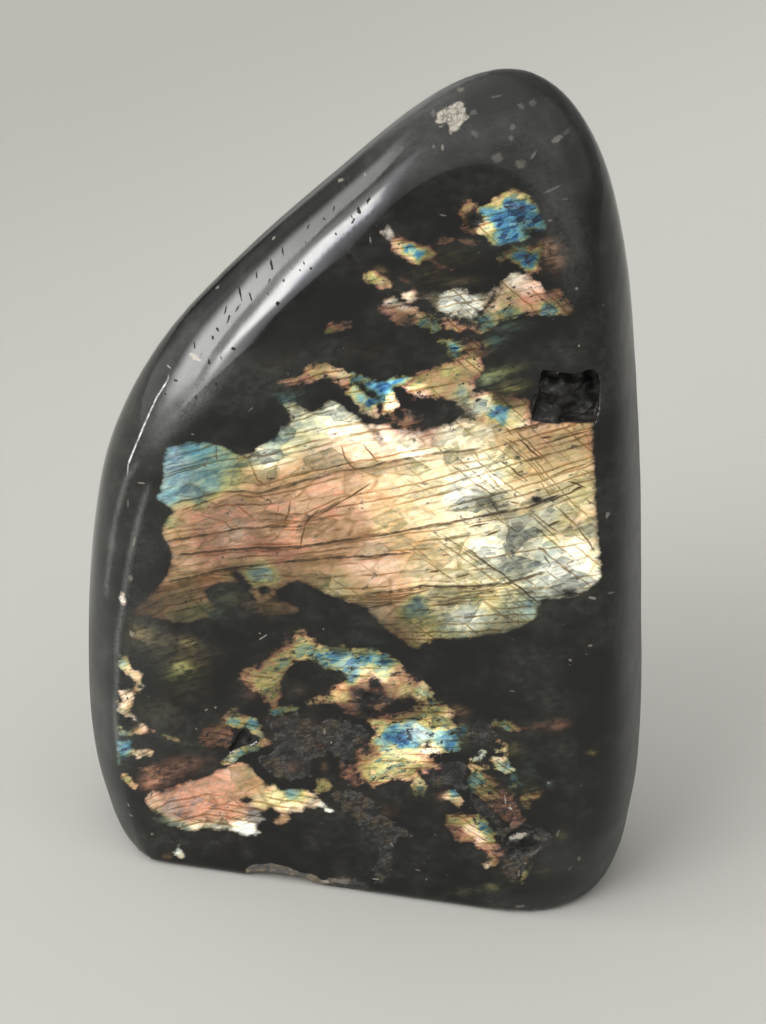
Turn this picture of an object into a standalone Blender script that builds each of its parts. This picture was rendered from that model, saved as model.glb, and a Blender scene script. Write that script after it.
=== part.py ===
"""A polished labradorite freeform that stands on a sawn foot.

One natural stone: a flat polished face at the front (-Y), rounded rims that widen along the upper-left
shoulder, a domed back, and a flat sawn foot at z = 0. A few open voids and chips break its surface.
Sizes in the tables are millimetres. X runs along the foot, Z is up, and the origin is the middle of the
stone's footprint box on the surface that it stands on.
"""

import math

import bmesh
import bpy
from mathutils import Matrix, Vector

MM = 0.001

# Driving dimensions. The face and the back both lean inwards, so the stone thins towards its top.
FACE_Y_AT_FOOT = -15.8
FACE_LEAN = 0.063  # millimetres that the face goes back for each millimetre of height
BACK_Y_AT_FOOT = 16.5
BACK_LEAN = -0.055
GIRTH_Y = -1.9  # where the stone is widest, between its face and its back
BACK_CENTRE = (3.8, 38.0)
BACK_CROWN = 0.30  # the almost flat middle of the back, as a share of the girth

# Each row is a point of the stone's girth, a point of its flat face's edge, and how far the rim between
# them is flattened: 1 is a quarter round and 2 is a straight chamfer. Points are (x, z). The rows run from
# the foot up the left side, over the top and down the right side, and the ends lie below the saw cut.
RIM = (
    ((-23.2, -30.0), (-16.2, -30.0), 1.5),
    ((-33.6, 0.0), (-24.5, 0.0), 1.5),
    ((-36.0, 12.5), (-27.2, 12.5), 1.3),
    ((-35.8, 28.0), (-27.8, 28.0), 1.1),
    ((-34.6, 44.0), (-26.4, 42.5), 1.1),
    ((-31.8, 56.5), (-23.4, 53.0), 1.1),
    ((-25.2, 69.3), (-17.0, 64.0), 1.1),
    ((-14.8, 81.8), (-7.8, 76.0), 1.1),
    ((-3.2, 93.5), (1.4, 87.0), 1.1),
    ((5.4, 101.6), (6.8, 93.2), 1.1),
    ((12.2, 106.0), (12.0, 97.0), 1.1),
    ((18.3, 106.9), (17.0, 97.6), 1.1),
    ((23.6, 103.6), (21.2, 93.8), 1.0),
    ((27.9, 96.3), (24.2, 87.0), 1.0),
    ((30.8, 85.5), (26.8, 77.5), 1.0),
    ((32.4, 74.0), (28.6, 67.5), 1.0),
    ((34.1, 57.0), (30.4, 53.0), 1.0),
    ((35.2, 40.0), (30.6, 38.0), 1.0),
    ((36.1, 23.0), (28.8, 23.0), 1.0),
    ((35.6, 10.5), (24.8, 10.5), 1.0),
    ((32.6, -1.5), (20.8, -1.5), 1.0),
    ((17.8, -30.0), (10.8, -30.0), 1.0),
)

STATIONS = 168  # points round each ring of the stone
RIM_RINGS = 11  # rings from the girth to the edge of the flat face
BACK_RINGS = 12

# The foot's edge is broken by hand: heights above the foot and how far the side is taken in there.
FOOT_BREAK = ((0.9, 0.0), (0.45, 0.06), (0.15, 0.2), (0.0, 0.4))
FINE = 0.12  # points nearer than this are one point

# Open voids and chips: a name, the mouth's outline on the face as (x, z), the depth of the void's floor, how
# much smaller the floor is than the mouth, and where the floor's middle lies from the mouth's middle.
VOIDS = (
    (
        "void_in_right_rim",
        ((22.0, 68.2), (25.2, 67.8), (28.7, 69.0), (29.7, 71.2), (29.3, 73.6), (27.8, 74.4), (26.1, 73.5),
         (23.4, 73.2), (22.2, 70.9)),
        3.2,
        0.6,
        (0.8, 0.2),
    ),
    (
        "triangular_pit",
        ((-14.4, 18.1), (-10.5, 20.3), (-12.5, 21.5)),
        2.4,
        0.45,
        (-0.1, 0.1),
    ),
    (
        "lower_right_hollow",
        ((21.2, 10.3), (22.6, 9.2), (25.0, 9.3), (26.4, 10.9), (25.8, 12.7), (23.7, 13.4), (22.2, 12.2)),
        1.1,
        0.5,
        (0.1, -0.1),
    ),
)
VOID_OVERLAP = 2.0  # each void's cutter starts this far in front of the face

# The flake lost from the foot's front edge: points along the edge as x, its height, and its depth.
FOOT_CHIP = ((-12.0, 0.9, 0.1), (-10.6, 1.7, 0.5), (-7.6, 2.2, 0.8), (-4.4, 1.6, 0.7), (-1.4, 0.5, 0.2))

STONE_COLOUR = (0.038, 0.038, 0.036, 1.0)
STONE_ROUGHNESS = 0.12


def face_y(z):
    """The flat face's y at a height."""
    return FACE_Y_AT_FOOT + FACE_LEAN * z


def back_y(z):
    """The back's y at a height."""
    return BACK_Y_AT_FOOT + BACK_LEAN * z


def smooth_between(before, start, end, after, t):
    """A point on the Catmull-Rom curve from start to end."""
    return 0.5 * (
        2 * start
        + (end - before) * t
        + (2 * before - 5 * start + 4 * end - after) * t**2
        + (3 * start - before - 3 * end + after) * t**3
    )


def rim_stations(count):
    """Girth, face's edge and flattening at equal steps round the girth."""
    steps_per_span = 24
    rows = [(Vector(girth), Vector(edge), flattening) for girth, edge, flattening in RIM]
    fine = []
    for i in range(len(rows)):
        four = [rows[(i + k) % len(rows)] for k in (-1, 0, 1, 2)]
        for step in range(steps_per_span):
            t = step / steps_per_span
            fine.append([smooth_between(*column, t) for column in zip(*four)])
    lengths = [(fine[i][0] - fine[i - 1][0]).length for i in range(len(fine))]
    step_length = sum(lengths) / count
    stations, walked = [], 0.0
    for row, length in zip(fine, lengths):
        walked += length
        if walked >= step_length:
            walked -= step_length
            stations.append(row)
    return stations


def rim_ring(stations, turn):
    """A ring on the front rim: turn 0 is the girth, and a quarter turn is the edge of the flat face."""
    ring = []
    for girth, edge, flattening in stations:
        out, forward = math.cos(turn) ** flattening, math.sin(turn) ** flattening
        flat = edge + (girth - edge) * out
        ring.append((flat.x, GIRTH_Y + (face_y(flat.y) - GIRTH_Y) * forward, flat.y))
    return ring


def back_ring(stations, turn):
    """A ring on the domed back: turn 0 is the girth, and a quarter turn is the edge of its crown."""
    centre = Vector(BACK_CENTRE)
    ring = []
    for girth, _, _ in stations:
        crown = centre + (girth - centre) * BACK_CROWN
        flat = crown + (girth - crown) * math.cos(turn)
        ring.append((flat.x, GIRTH_Y + (back_y(flat.y) - GIRTH_Y) * math.sin(turn), flat.y))
    return ring


def extrude_to(bm, verts, edges, ring):
    """Extrudes a loop and moves the new loop onto a ring, point for point."""
    grown = bmesh.ops.extrude_edge_only(bm, edges=edges)["geom"]
    fresh = {part for part in grown if isinstance(part, bmesh.types.BMVert)}
    new_verts = []
    for vert, point in zip(verts, ring):
        risen = next(edge.other_vert(vert) for edge in vert.link_edges if edge.other_vert(vert) in fresh)
        risen.co = Vector(point) * MM
        new_verts.append(risen)
    new_edges = [part for part in grown if isinstance(part, bmesh.types.BMEdge) and fresh.issuperset(part.verts)]
    return new_verts, new_edges


def loft(bm, rings):
    """A closed skin through rings, with a face over the first ring and another over the last."""
    verts = [bm.verts.new(Vector(point) * MM) for point in rings[0]]
    edges = [bm.edges.new((verts[i - 1], verts[i])) for i in range(len(verts))]
    first = edges
    for ring in rings[1:]:
        verts, edges = extrude_to(bm, verts, edges, ring)
    for cap in (first, edges):
        bmesh.ops.contextual_create(bm, geom=cap)
    bmesh.ops.recalc_face_normals(bm, faces=bm.faces)


def ground_block(bm):
    """The whole stone before the saw cut: rings from the flat face over the girth to the back."""
    stations = rim_stations(STATIONS)
    quarter = math.pi / 2
    rings = [rim_ring(stations, quarter * (RIM_RINGS - i) / RIM_RINGS) for i in range(RIM_RINGS)]
    rings += [back_ring(stations, quarter * i / BACK_RINGS) for i in range(BACK_RINGS + 1)]
    loft(bm, rings)


def slice_at(bm, height, keep_below):
    """Cuts the skin level at a height, and drops what lies under the cut unless that is kept."""
    geometry = bm.verts[:] + bm.edges[:] + bm.faces[:]
    cut = bmesh.ops.bisect_plane(
        bm,
        geom=geometry,
        dist=FINE * MM,
        plane_co=(0, 0, height * MM),
        plane_no=(0, 0, 1),
        clear_inner=not keep_below,
    )
    return [part for part in cut["geom_cut"] if isinstance(part, bmesh.types.BMEdge)]


def saw_foot(bm):
    """Cuts the foot flat at z = 0, then takes the sharp edge off in a few small steps."""
    rim = slice_at(bm, 0.0, keep_below=False)
    for edge in rim:
        for vert in edge.verts:
            vert.co.z = 0.0
    bmesh.ops.contextual_create(bm, geom=rim)
    for height, _ in FOOT_BREAK[:-1]:
        slice_at(bm, height, keep_below=True)
    bmesh.ops.remove_doubles(bm, verts=bm.verts, dist=0.0001)
    bmesh.ops.recalc_face_normals(bm, faces=bm.faces)
    bm.normal_update()
    moves = []
    for vert in bm.verts:
        for height, inward in FOOT_BREAK:
            if abs(vert.co.z - height * MM) < 0.2 * FINE * MM:
                outward = Vector((vert.normal.x, vert.normal.y, 0)).normalized()
                moves.append((vert, outward * inward * MM))
    for vert, move in moves:
        vert.co -= move


def stone_material():
    """Near-black feldspar with a glassy polish."""
    material = bpy.data.materials.new("polished_labradorite")
    material.use_nodes = True
    shader = material.node_tree.nodes["Principled BSDF"]
    shader.inputs["Base Color"].default_value = STONE_COLOUR
    shader.inputs["Roughness"].default_value = STONE_ROUGHNESS
    return material


def new_object(name, bm):
    mesh = bpy.data.meshes.new(name)
    bm.to_mesh(mesh)
    bm.free()
    made = bpy.data.objects.new(name, mesh)
    bpy.context.scene.collection.objects.link(made)
    return made


def cut_with(stone, cutter):
    """Takes a hidden cutter's volume out of the stone."""
    cutter.hide_render = True
    cutter.display_type = "WIRE"
    cut = stone.modifiers.new(cutter.name, "BOOLEAN")
    cut.operation = "DIFFERENCE"
    cut.solver = "EXACT"
    cut.object = cutter


def void_cutter(name, mouth, depth, floor_share, floor_shift):
    """A tapered plug from in front of the face down to the void's floor."""
    centre = sum((Vector(point) for point in mouth), Vector((0, 0))) / len(mouth)
    floor_centre = centre + Vector(floor_shift)
    middle = [centre.lerp(floor_centre, 0.6) + (Vector(p) - centre) * (1 + 2 * floor_share) / 3 for p in mouth]
    floor = [floor_centre + (Vector(p) - centre) * floor_share for p in mouth]
    bm = bmesh.new()
    loft(
        bm,
        [
            [(x, face_y(z) - VOID_OVERLAP, z) for x, z in mouth],
            [(x, face_y(z) + 0.35 * depth, z) for x, z in mouth],
            [(p.x, face_y(p.y) + 0.85 * depth, p.y) for p in middle],
            [(p.x, face_y(p.y) + depth, p.y) for p in floor],
        ],
    )
    return new_object(name, bm)


def foot_chip_cutter():
    """A long shallow wedge along the foot's front edge."""
    bm = bmesh.new()
    front = FACE_Y_AT_FOOT - VOID_OVERLAP
    loft(
        bm,
        [
            [
                (x, front, -VOID_OVERLAP),
                (x, FACE_Y_AT_FOOT + 0.3 * depth, -VOID_OVERLAP),
                (x, FACE_Y_AT_FOOT + depth, 0.45 * height),
                (x, FACE_Y_AT_FOOT + 0.05, height),
                (x, front, height + 0.5),
            ]
            for x, height, depth in FOOT_CHIP
        ],
    )
    return new_object("foot_edge_chip", bm)


def make_stone():
    bm = bmesh.new()
    ground_block(bm)
    saw_foot(bm)
    stone = new_object("labradorite_stone", bm)
    stone.data.materials.append(stone_material())
    for void in VOIDS:
        cut_with(stone, void_cutter(*void))
    cut_with(stone, foot_chip_cutter())
    stone.data.shade_smooth()
    stone.data.set_sharp_from_angle(angle=math.radians(40))
    return stone


def main():
    for old in list(bpy.data.objects):
        bpy.data.objects.remove(old)
    make_stone()


main()
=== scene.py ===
import math

import bmesh
import bpy
import numpy as np
from mathutils import Matrix, Vector, noise
from mathutils.bvhtree import BVHTree


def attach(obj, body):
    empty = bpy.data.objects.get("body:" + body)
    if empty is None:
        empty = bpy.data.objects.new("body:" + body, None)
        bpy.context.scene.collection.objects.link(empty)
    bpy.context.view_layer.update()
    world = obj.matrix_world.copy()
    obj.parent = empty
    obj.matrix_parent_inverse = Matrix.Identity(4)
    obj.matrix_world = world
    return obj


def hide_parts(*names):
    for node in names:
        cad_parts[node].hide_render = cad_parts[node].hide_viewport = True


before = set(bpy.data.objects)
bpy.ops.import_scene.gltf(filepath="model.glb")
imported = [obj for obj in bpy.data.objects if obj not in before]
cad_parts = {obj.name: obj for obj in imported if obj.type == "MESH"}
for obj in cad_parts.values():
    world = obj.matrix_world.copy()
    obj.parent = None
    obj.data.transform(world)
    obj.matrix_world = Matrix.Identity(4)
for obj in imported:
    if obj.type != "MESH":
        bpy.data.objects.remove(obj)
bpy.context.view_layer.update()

# ---------------------------------------------------------------- table
# The table is a sheet of matt off-white laminate, far wider than the stone, and no part of the object.
# A very slight mottle keeps it from looking like paper. Painted shade darkens it far behind to the left and
# in front of the stone.

TABLE_HALF = 2.2
TABLE_COLOUR = (0.486, 0.481, 0.452, 1.0)
TABLE_COLOUR_WORN = (0.472, 0.467, 0.437, 1.0)
TABLE_FAR_SHADE = (0.83, 0.83, 0.82, 1.0)
TABLE_NEAR_SHADE = (0.25, 0.25, 0.24, 1.0)
WHITE = (1.0, 1.0, 1.0, 1.0)
# Each painted shade has a direction on the table, and the places along it where the shade begins and ends.
FAR_SHADE_CHANGE = ((2.4, -1.0, 0.0), -0.62, -0.16)
NEAR_SHADE_CHANGE = ((0.35, -1.0, 0.0), 0.08, 0.62)


def new_piece(name, bm):
    """An object at the origin made from a bmesh."""
    mesh = bpy.data.meshes.new(name)
    bm.to_mesh(mesh)
    bm.free()
    piece = bpy.data.objects.new(name, mesh)
    bpy.context.scene.collection.objects.link(piece)
    return piece


def new_material(name):
    """A material with its node tree and its shader."""
    material = bpy.data.materials.new(name)
    material.use_nodes = True
    return material, material.node_tree, material.node_tree.nodes["Principled BSDF"]


def add_node(kind, settings=None, **inputs):
    """A node in the tree that is being built. Its inputs are values or other nodes' outputs.

    Spaces in a socket's name are written as underscores, and in_0, in_1 and so on are sockets by number.
    """
    made = tree.nodes.new(kind)
    for key, value in (settings or {}).items():
        setattr(made, key, value)
    for key, value in inputs.items():
        socket = made.inputs[int(key[3:]) if key.startswith("in_") else key.replace("_", " ")]
        if isinstance(value, bpy.types.NodeSocket):
            tree.links.new(value, socket)
        else:
            socket.default_value = value
    return made


def span(value, low, high, to_low=0.0, to_high=1.0):
    """A value carried smoothly from one range to another, and held at the ends."""
    made = add_node("ShaderNodeMapRange", {"interpolation_type": "SMOOTHSTEP"}, Value=value, From_Min=low,
                    From_Max=high, To_Min=to_low, To_Max=to_high)
    return made.outputs["Result"]


def vector_math(operation, a, b, c=(0.0, 0.0, 0.0)):
    return add_node("ShaderNodeVectorMath", {"operation": operation}, in_0=a, in_1=b, in_2=c).outputs


def blend_colour(amount, first, second, mode="MIX"):
    """One colour turned into another, or joined with it in another mode."""
    settings = {"data_type": "RGBA", "blend_type": mode}
    return add_node("ShaderNodeMix", settings, Factor=amount, in_6=first, in_7=second).outputs[2]


def changed(along, begin, end):
    """How far a painted shade along the table has gone."""
    return span(vector_math("DOT_PRODUCT", place, along)["Value"], begin, end)


bm = bmesh.new()
bmesh.ops.create_grid(bm, x_segments=4, y_segments=4, size=TABLE_HALF)
table = new_piece("table", bm)
material, tree, shader = new_material("matt_laminate_and_painted_shade")
place = add_node("ShaderNodeTexCoord").outputs["Object"]
mottle = add_node("ShaderNodeTexNoise", Vector=place, Scale=9.0, Detail=4.0).outputs["Fac"]
laminate_and_shade = blend_colour(mottle, TABLE_COLOUR, TABLE_COLOUR_WORN)
# Painted shade: the laminate darkens far behind to the left, and in front of the stone.
laminate_and_shade = blend_colour(1.0, laminate_and_shade, blend_colour(changed(*FAR_SHADE_CHANGE), TABLE_FAR_SHADE, WHITE), "MULTIPLY")
laminate_and_shade = blend_colour(changed(*NEAR_SHADE_CHANGE), laminate_and_shade, TABLE_NEAR_SHADE)
tree.links.new(laminate_and_shade, shader.inputs["Base Color"])
shader.inputs["Roughness"].default_value = 0.85
shader.inputs["Specular IOR Level"].default_value = 0.25
table.data.materials.append(material)

# ---------------------------------------------------------------- light and camera
# A soft studio: a pale surround that is brightest at the left front, and two window-like panels of light at
# the left, whose gap leaves a dark line along the polished rim. A wide lamp at the left front gives the
# soft shadow. Angles are degrees.

BRIGHTEST = (-0.57, -0.77, 0.28)
# The gap between the panels runs up to the left from its middle: the first share of the slope goes to the
# azimuth across it, and the second to the elevation.
GAP_AZIMUTH, GAP_ELEVATION, GAP_SLOPE = -56.0, 6.0, (0.66, 0.75)
NEAR_PANEL_LIGHT, FAR_PANEL_LIGHT, GLOW_LIGHT = 17.0, 9.0, 2.8
SURROUND_WHITE, GLOW_VIOLET = (1.0, 0.995, 0.975, 1.0), (0.86, 0.88, 1.0, 1.0)
LAMP_AZIMUTH, LAMP_ELEVATION, LAMP_DISTANCE = -28.0, 42.0, 1.6
LAMP_SIZE, LAMP_WATTS = 0.72, 10.6
CAMERA_AZIMUTH, CAMERA_ELEVATION, CAMERA_ROLL = 12.0, 28.0, 1.0
CAMERA_TARGET = Vector((0.00224, -0.00082, 0.04761))
CAMERA_DISTANCE = 0.355
CAMERA_LENS, CAMERA_SENSOR, CAMERA_NEAREST = 100.0, 36.0, 0.01


def direction(azimuth, elevation):
    """A unit vector: azimuth 0 is the front (-Y), and 90 is the right (+X)."""
    a, e = math.radians(azimuth), math.radians(elevation)
    return Vector((math.sin(a) * math.cos(e), -math.cos(a) * math.cos(e), math.sin(e)))


def calc(operation, a, b=0.0, c=0.0):
    return add_node("ShaderNodeMath", {"operation": operation}, in_0=a, in_1=b, in_2=c).outputs[0]


def times(*values):
    result = values[0]
    for value in values[1:]:
        result = calc("MULTIPLY", result, value)
    return result


def fall(value, low, high, to_low=0.0):
    """1 below a range and smoothly less across it."""
    return span(value, low, high, 1.0, to_low)


def band(value, start, full, fading, end):
    """1 in a band, with soft edges on both sides."""
    return times(span(value, start, full), fall(value, fading, end))


world = bpy.data.worlds.new("studio")
world.use_nodes = True
tree = world.node_tree
bpy.context.scene.world = world
bpy.context.scene.view_settings.view_transform = "Standard"

toward = add_node("ShaderNodeTexCoord").outputs["Generated"]
parts = add_node("ShaderNodeSeparateXYZ", Vector=toward).outputs
azimuth = calc("MULTIPLY", calc("ARCTAN2", parts[0], calc("MULTIPLY", parts[1], -1.0)), math.degrees(1))
elevation = calc("MULTIPLY", calc("ARCSINE", parts[2]), math.degrees(1))
east = calc("SUBTRACT", azimuth, GAP_AZIMUTH)
north = calc("SUBTRACT", elevation, GAP_ELEVATION)
over = calc("ADD", times(east, GAP_SLOPE[0]), times(north, GAP_SLOPE[1]))
up_gap = calc("SUBTRACT", times(north, GAP_SLOPE[0]), times(east, GAP_SLOPE[1]))
leaning = calc("MULTIPLY_ADD", elevation, -0.8, azimuth)
facing = vector_math("DOT_PRODUCT", toward, BRIGHTEST)["Value"]

surround = calc("ADD", span(facing, -0.3, 0.35, 0.34, 1.12), span(facing, 0.82, 1.0, 0.0, 0.45))
right_wall = times(band(azimuth, 45, 68, 104, 126), band(elevation, 3, 12, 50, 70))
low_front = times(fall(calc("ABSOLUTE", azimuth), 25, 60), fall(elevation, 15, 40))
ceiling_behind = times(fall(facing, -0.3, 0.3), span(elevation, 25, 55))
pale_strip = times(band(azimuth, -162, -148, -138, -130), fall(elevation, 22, 30))
dark_strip = times(band(leaning, -142, -134, -120, -110), fall(elevation, 26, 36))
for area, light in ((right_wall, 0.45), (low_front, -0.45), (ceiling_behind, 0.28), (pale_strip, 0.5),
                    (dark_strip, -0.5)):
    surround = calc("MULTIPLY_ADD", area, light, surround)

narrowing = calc("MULTIPLY_ADD", calc("MAXIMUM", up_gap, 0.0), 0.22, over)
near_panel = times(times(span(over, 1.5, 4), fall(narrowing, 7.5, 9.8)), band(up_gap, -13, -4, 7, 15))
far_panel = times(band(over, -21, -9.5, -2.4, -0.8),
                  times(span(elevation, 0.5, 6.5), fall(elevation, 14, 23, 0.38)), fall(elevation, 22, 31))
glow = times(band(over, -4, 0, 8, 15), band(up_gap, -28, -10, 14, 24))
panels = calc("MULTIPLY_ADD", far_panel, FAR_PANEL_LIGHT, times(glow, GLOW_LIGHT))
brightness = calc("ADD", calc("MULTIPLY_ADD", near_panel, NEAR_PANEL_LIGHT, surround), panels)
tint = blend_colour(times(glow, span(over, 6, 10)), SURROUND_WHITE, GLOW_VIOLET)
background = tree.nodes["Background"]
tree.links.new(tint, background.inputs["Color"])
tree.links.new(brightness, background.inputs["Strength"])

lamp_light = bpy.data.lights.new("key", "AREA")
lamp_light.size = LAMP_SIZE
lamp_light.energy = LAMP_WATTS
lamp = bpy.data.objects.new("key", lamp_light)
lamp.visible_glossy = False  # it lights and shades, and leaves no square in the polish
lamp.location = direction(LAMP_AZIMUTH, LAMP_ELEVATION) * LAMP_DISTANCE
lamp.rotation_euler = direction(LAMP_AZIMUTH, LAMP_ELEVATION).to_track_quat("Z", "Y").to_euler()
bpy.context.scene.collection.objects.link(lamp)

lens = bpy.data.cameras.new("camera")
lens.lens, lens.sensor_width, lens.clip_start = CAMERA_LENS, CAMERA_SENSOR, CAMERA_NEAREST
camera = bpy.data.objects.new("camera", lens)
back = direction(CAMERA_AZIMUTH, CAMERA_ELEVATION)
right = Vector((math.cos(math.radians(CAMERA_AZIMUTH)), math.sin(math.radians(CAMERA_AZIMUTH)), 0.0))
axes = Matrix((right, back.cross(right), back)).transposed().to_4x4()
roll = Matrix.Rotation(math.radians(CAMERA_ROLL), 4, "Z")
camera.matrix_world = Matrix.Translation(CAMERA_TARGET + back * CAMERA_DISTANCE) @ axes @ roll
bpy.context.scene.collection.objects.link(camera)
bpy.context.scene.camera = camera

# ---------------------------------------------------------------- stone: its ground and polished form
# The stone is one piece of labradorite, sawn flat at the foot, ground flat at the front and rounded
# everywhere else by hand on a wheel, then polished to a glassy finish.
# Lengths in the stone's sections are millimetres, and points on the flat face are (x, z).

MM = 0.001
FACE_Y_AT_FOOT = -15.76
FACE_LEAN = 0.063
GRAIN = 0.74  # size of the mesh before the front is refined
FRONT = -5.0  # points with a smaller y belong to the front of the stone
NEAR_ENOUGH = 2.0  # how far from a void's mouth a point can still be part of it
FOOT_TOUCH = 0.12  # points lower than this are on the table
FOOT_HELD = 0.6  # and points lower than this are not smoothed
FLAT_MARGIN, FLAT_FADE, FLAT_SLACK = 0.2, 1.6, 0.3  # where and how far points are put back on the flat face
FACE_EDGE = (
    (-24.5, -6), (-24.5, 0), (-27.2, 12.5), (-27.8, 28), (-26.4, 42.5), (-23.4, 53), (-17, 64), (-7.8, 76),
    (1.4, 87), (6.8, 93.2), (12, 97), (17, 97.6), (21.2, 93.8), (24.2, 87), (26.8, 77.5), (28.6, 67.5),
    (30.4, 53), (30.6, 38), (28.8, 23), (24.8, 10.5), (20.8, -1.5), (19, -6),
)
VOID_MOUTHS = (
    ((22.3, 67.7), (25.4, 67.6), (28.9, 68), (29.6, 68.5), (29.7, 71.2), (29.5, 73.8), (28.8, 74.4),
     (26.2, 74.1), (23.6, 74.2), (22.9, 73.6), (22.6, 71), (22.1, 68.4)),
    ((-14.4, 18.1), (-12.4, 19.2), (-10.5, 20.3), (-11.5, 20.9), (-12.5, 21.5), (-13.5, 19.8)),
    ((21.2, 10.3), (22.6, 9.2), (25, 9.3), (26.4, 10.9), (25.8, 12.7), (23.7, 13.4), (22.2, 12.2)),
)
RIGHT_EDGE_FROM = 15  # the face edge's points from here on are its right side
RIM_SQUARENESS = 3.0  # the right rim's section: 2 is a plain ellipse, and more is fuller at its corner
RIM_SQUARENESS_AT = ((2, 12, 66, 84), (0.2, 1, 1, 0))  # heights, and how much of it shows there
FOOT_ROUNDING = 1.3
FOOT_FADE = 5.0  # how many times its rounding the foot's own points move inwards


def smooth_outline(points, steps=4):
    """A closed Catmull-Rom curve through points, as an array."""
    p = np.array(points, float)
    before, after, later = np.roll(p, 1, 0), np.roll(p, -1, 0), np.roll(p, -2, 0)
    curve = []
    for step in range(steps):
        t = step / steps
        curve.append(0.5 * (2 * p + (after - before) * t + (2 * before - 5 * p + 4 * after - later) * t**2
                            + (3 * p - before - 3 * after + later) * t**3))
    return np.stack(curve, 1).reshape(-1, 2)


def depth_inside(points, outline, reach=1e9):
    """Distance to an outline in millimetres, positive inside it. Points further than reach get -reach."""
    result = np.full(len(points), -float(reach))
    low, high = outline.min(0) - reach, outline.max(0) + reach
    near = np.where(((points > low) & (points < high)).all(1))[0]
    x, z = points[near, 0], points[near, 1]
    closest = np.full(len(near), 1e18)
    inside = np.zeros(len(near), bool)
    for (ax, az), (bx, bz) in zip(outline, np.roll(outline, -1, 0)):
        dx, dz = bx - ax, bz - az
        along = np.clip(((x - ax) * dx + (z - az) * dz) / max(dx * dx + dz * dz, 1e-12), 0, 1)
        closest = np.minimum(closest, (x - ax - along * dx) ** 2 + (z - az - along * dz) ** 2)
        if az != bz:
            inside ^= ((az > z) != (bz > z)) & (x < dx * (z - az) / dz + ax)
    result[near] = np.maximum(np.where(inside, 1, -1) * np.sqrt(closest), -reach)
    return result


def positions(mesh):
    """A mesh's points in millimetres."""
    co = np.empty(len(mesh.vertices) * 3)
    mesh.vertices.foreach_get("co", co)
    return co.reshape(-1, 3) / MM


def put_positions(mesh, points):
    mesh.vertices.foreach_set("co", (points * MM).ravel())
    mesh.update()


def relax(points, mesh, passes, freedom):
    """Smooths points without shrinking the form; freedom is 1 where a point may move and 0 where it stays."""
    pairs = np.empty(len(mesh.edges) * 2, int)
    mesh.edges.foreach_get("vertices", pairs)
    pairs = pairs.reshape(-1, 2)
    count = np.bincount(pairs.ravel(), minlength=len(points))[:, None]
    for _ in range(passes):
        for amount in (0.50, -0.52):
            total = np.zeros_like(points)
            for axis in range(3):
                for here, there in (pairs.T, pairs.T[::-1]):
                    total[:, axis] += np.bincount(here, points[there, axis], len(points))
            points = points + freedom[:, None] * amount * (total / count - points)
    return points


def held(points, margin, freedom):
    """How freely points may move: less at the foot, and less in the voids' mouths and a margin around."""
    in_void = np.zeros(len(points), bool)
    for outline in void_outlines:
        in_void |= (depth_inside(points[:, [0, 2]], outline, NEAR_ENOUGH) > -margin) & (points[:, 1] < FRONT)
    return np.where(in_void | (points[:, 2] < FOOT_HELD), freedom, 1.0)


def face_y(z):
    return FACE_Y_AT_FOOT + FACE_LEAN * z


def true_up(points):
    """Puts the flat face back on its plane and the foot back on the table."""
    flat = depth_inside(points[:, [0, 2]], face_outline, 3.0)
    behind = points[:, 1] - face_y(points[:, 2])
    on_face = (flat > FLAT_MARGIN) & (np.abs(behind) < FLAT_SLACK)
    points[:, 1] -= behind * (np.clip((flat - FLAT_MARGIN) / FLAT_FADE, 0, 1) * on_face)
    points[points[:, 2] < FOOT_TOUCH, 2] = 0.0
    return points


face_outline = smooth_outline(FACE_EDGE)
void_outlines = [smooth_outline(mouth, 3) for mouth in VOID_MOUTHS]

# The solid is meshed anew in even grains, which are finer on the front, and its facets are smoothed away.
bm = bmesh.new()
bm.from_mesh(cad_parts["labradorite_stone"].data)
bmesh.ops.remove_doubles(bm, verts=bm.verts, dist=0.001 * MM)
stone = new_piece("polished_stone", bm)
remesh = stone.modifiers.new("even_grain", "REMESH")
remesh.mode = "VOXEL"
remesh.voxel_size = GRAIN * MM
even = bpy.data.meshes.new_from_object(stone.evaluated_get(bpy.context.evaluated_depsgraph_get()))
stone.modifiers.clear()
stone.data = even
points = positions(even)
put_positions(even, true_up(relax(points, even, 90, held(points, 0.7, 0.0))))

bm = bmesh.new()
bm.from_mesh(even)
bm.normal_update()
front = [face for face in bm.faces if face.normal.y < -0.18]
fine_edges = list({edge for face in front for edge in face.edges})
bmesh.ops.subdivide_edges(bm, edges=fine_edges, cuts=1, use_grid_fill=True)
bm.to_mesh(even)
bm.free()
points = positions(even)
put_positions(even, true_up(relax(points, even, 14, held(points, 0.5, 0.15))))

# The right rim was ground with a fuller corner. Out and fore are shares of the way from the face's edge to
# the girth and from the girth to the face, and the section between them is an ellipse or fuller.
points = positions(even)
levels = np.arange(2.0, 100.0, 4.0)
right_edge = np.array(FACE_EDGE[RIGHT_EDGE_FROM:])
right_edge = right_edge[np.argsort(right_edge[:, 1])]
widest = []
for level in levels:
    slice_of = points[(np.abs(points[:, 2] - level) < 1.0) & (points[:, 0] > 0)]
    widest.append(slice_of[slice_of[:, 0].argmax(), :2] if len(slice_of) else widest[-1])
widest = np.array(widest)
edge_x = np.interp(points[:, 2], right_edge[:, 1], right_edge[:, 0])
wide_x = np.interp(points[:, 2], levels, widest[:, 0])
girth_y = np.convolve(np.pad(widest[:, 1], 2, mode="edge"), np.ones(5) / 5, "valid")
wide_y = np.interp(points[:, 2], levels, girth_y)
out = (points[:, 0] - edge_x) / (wide_x - edge_x)
fore = (wide_y - points[:, 1]) / (wide_y - face_y(points[:, 2]))
rim = np.where((out > 0) & (fore > 0) & (points[:, 2] < RIM_SQUARENESS_AT[0][-1]))[0]
size_now = np.hypot(out[rim], fore[rim])
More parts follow.
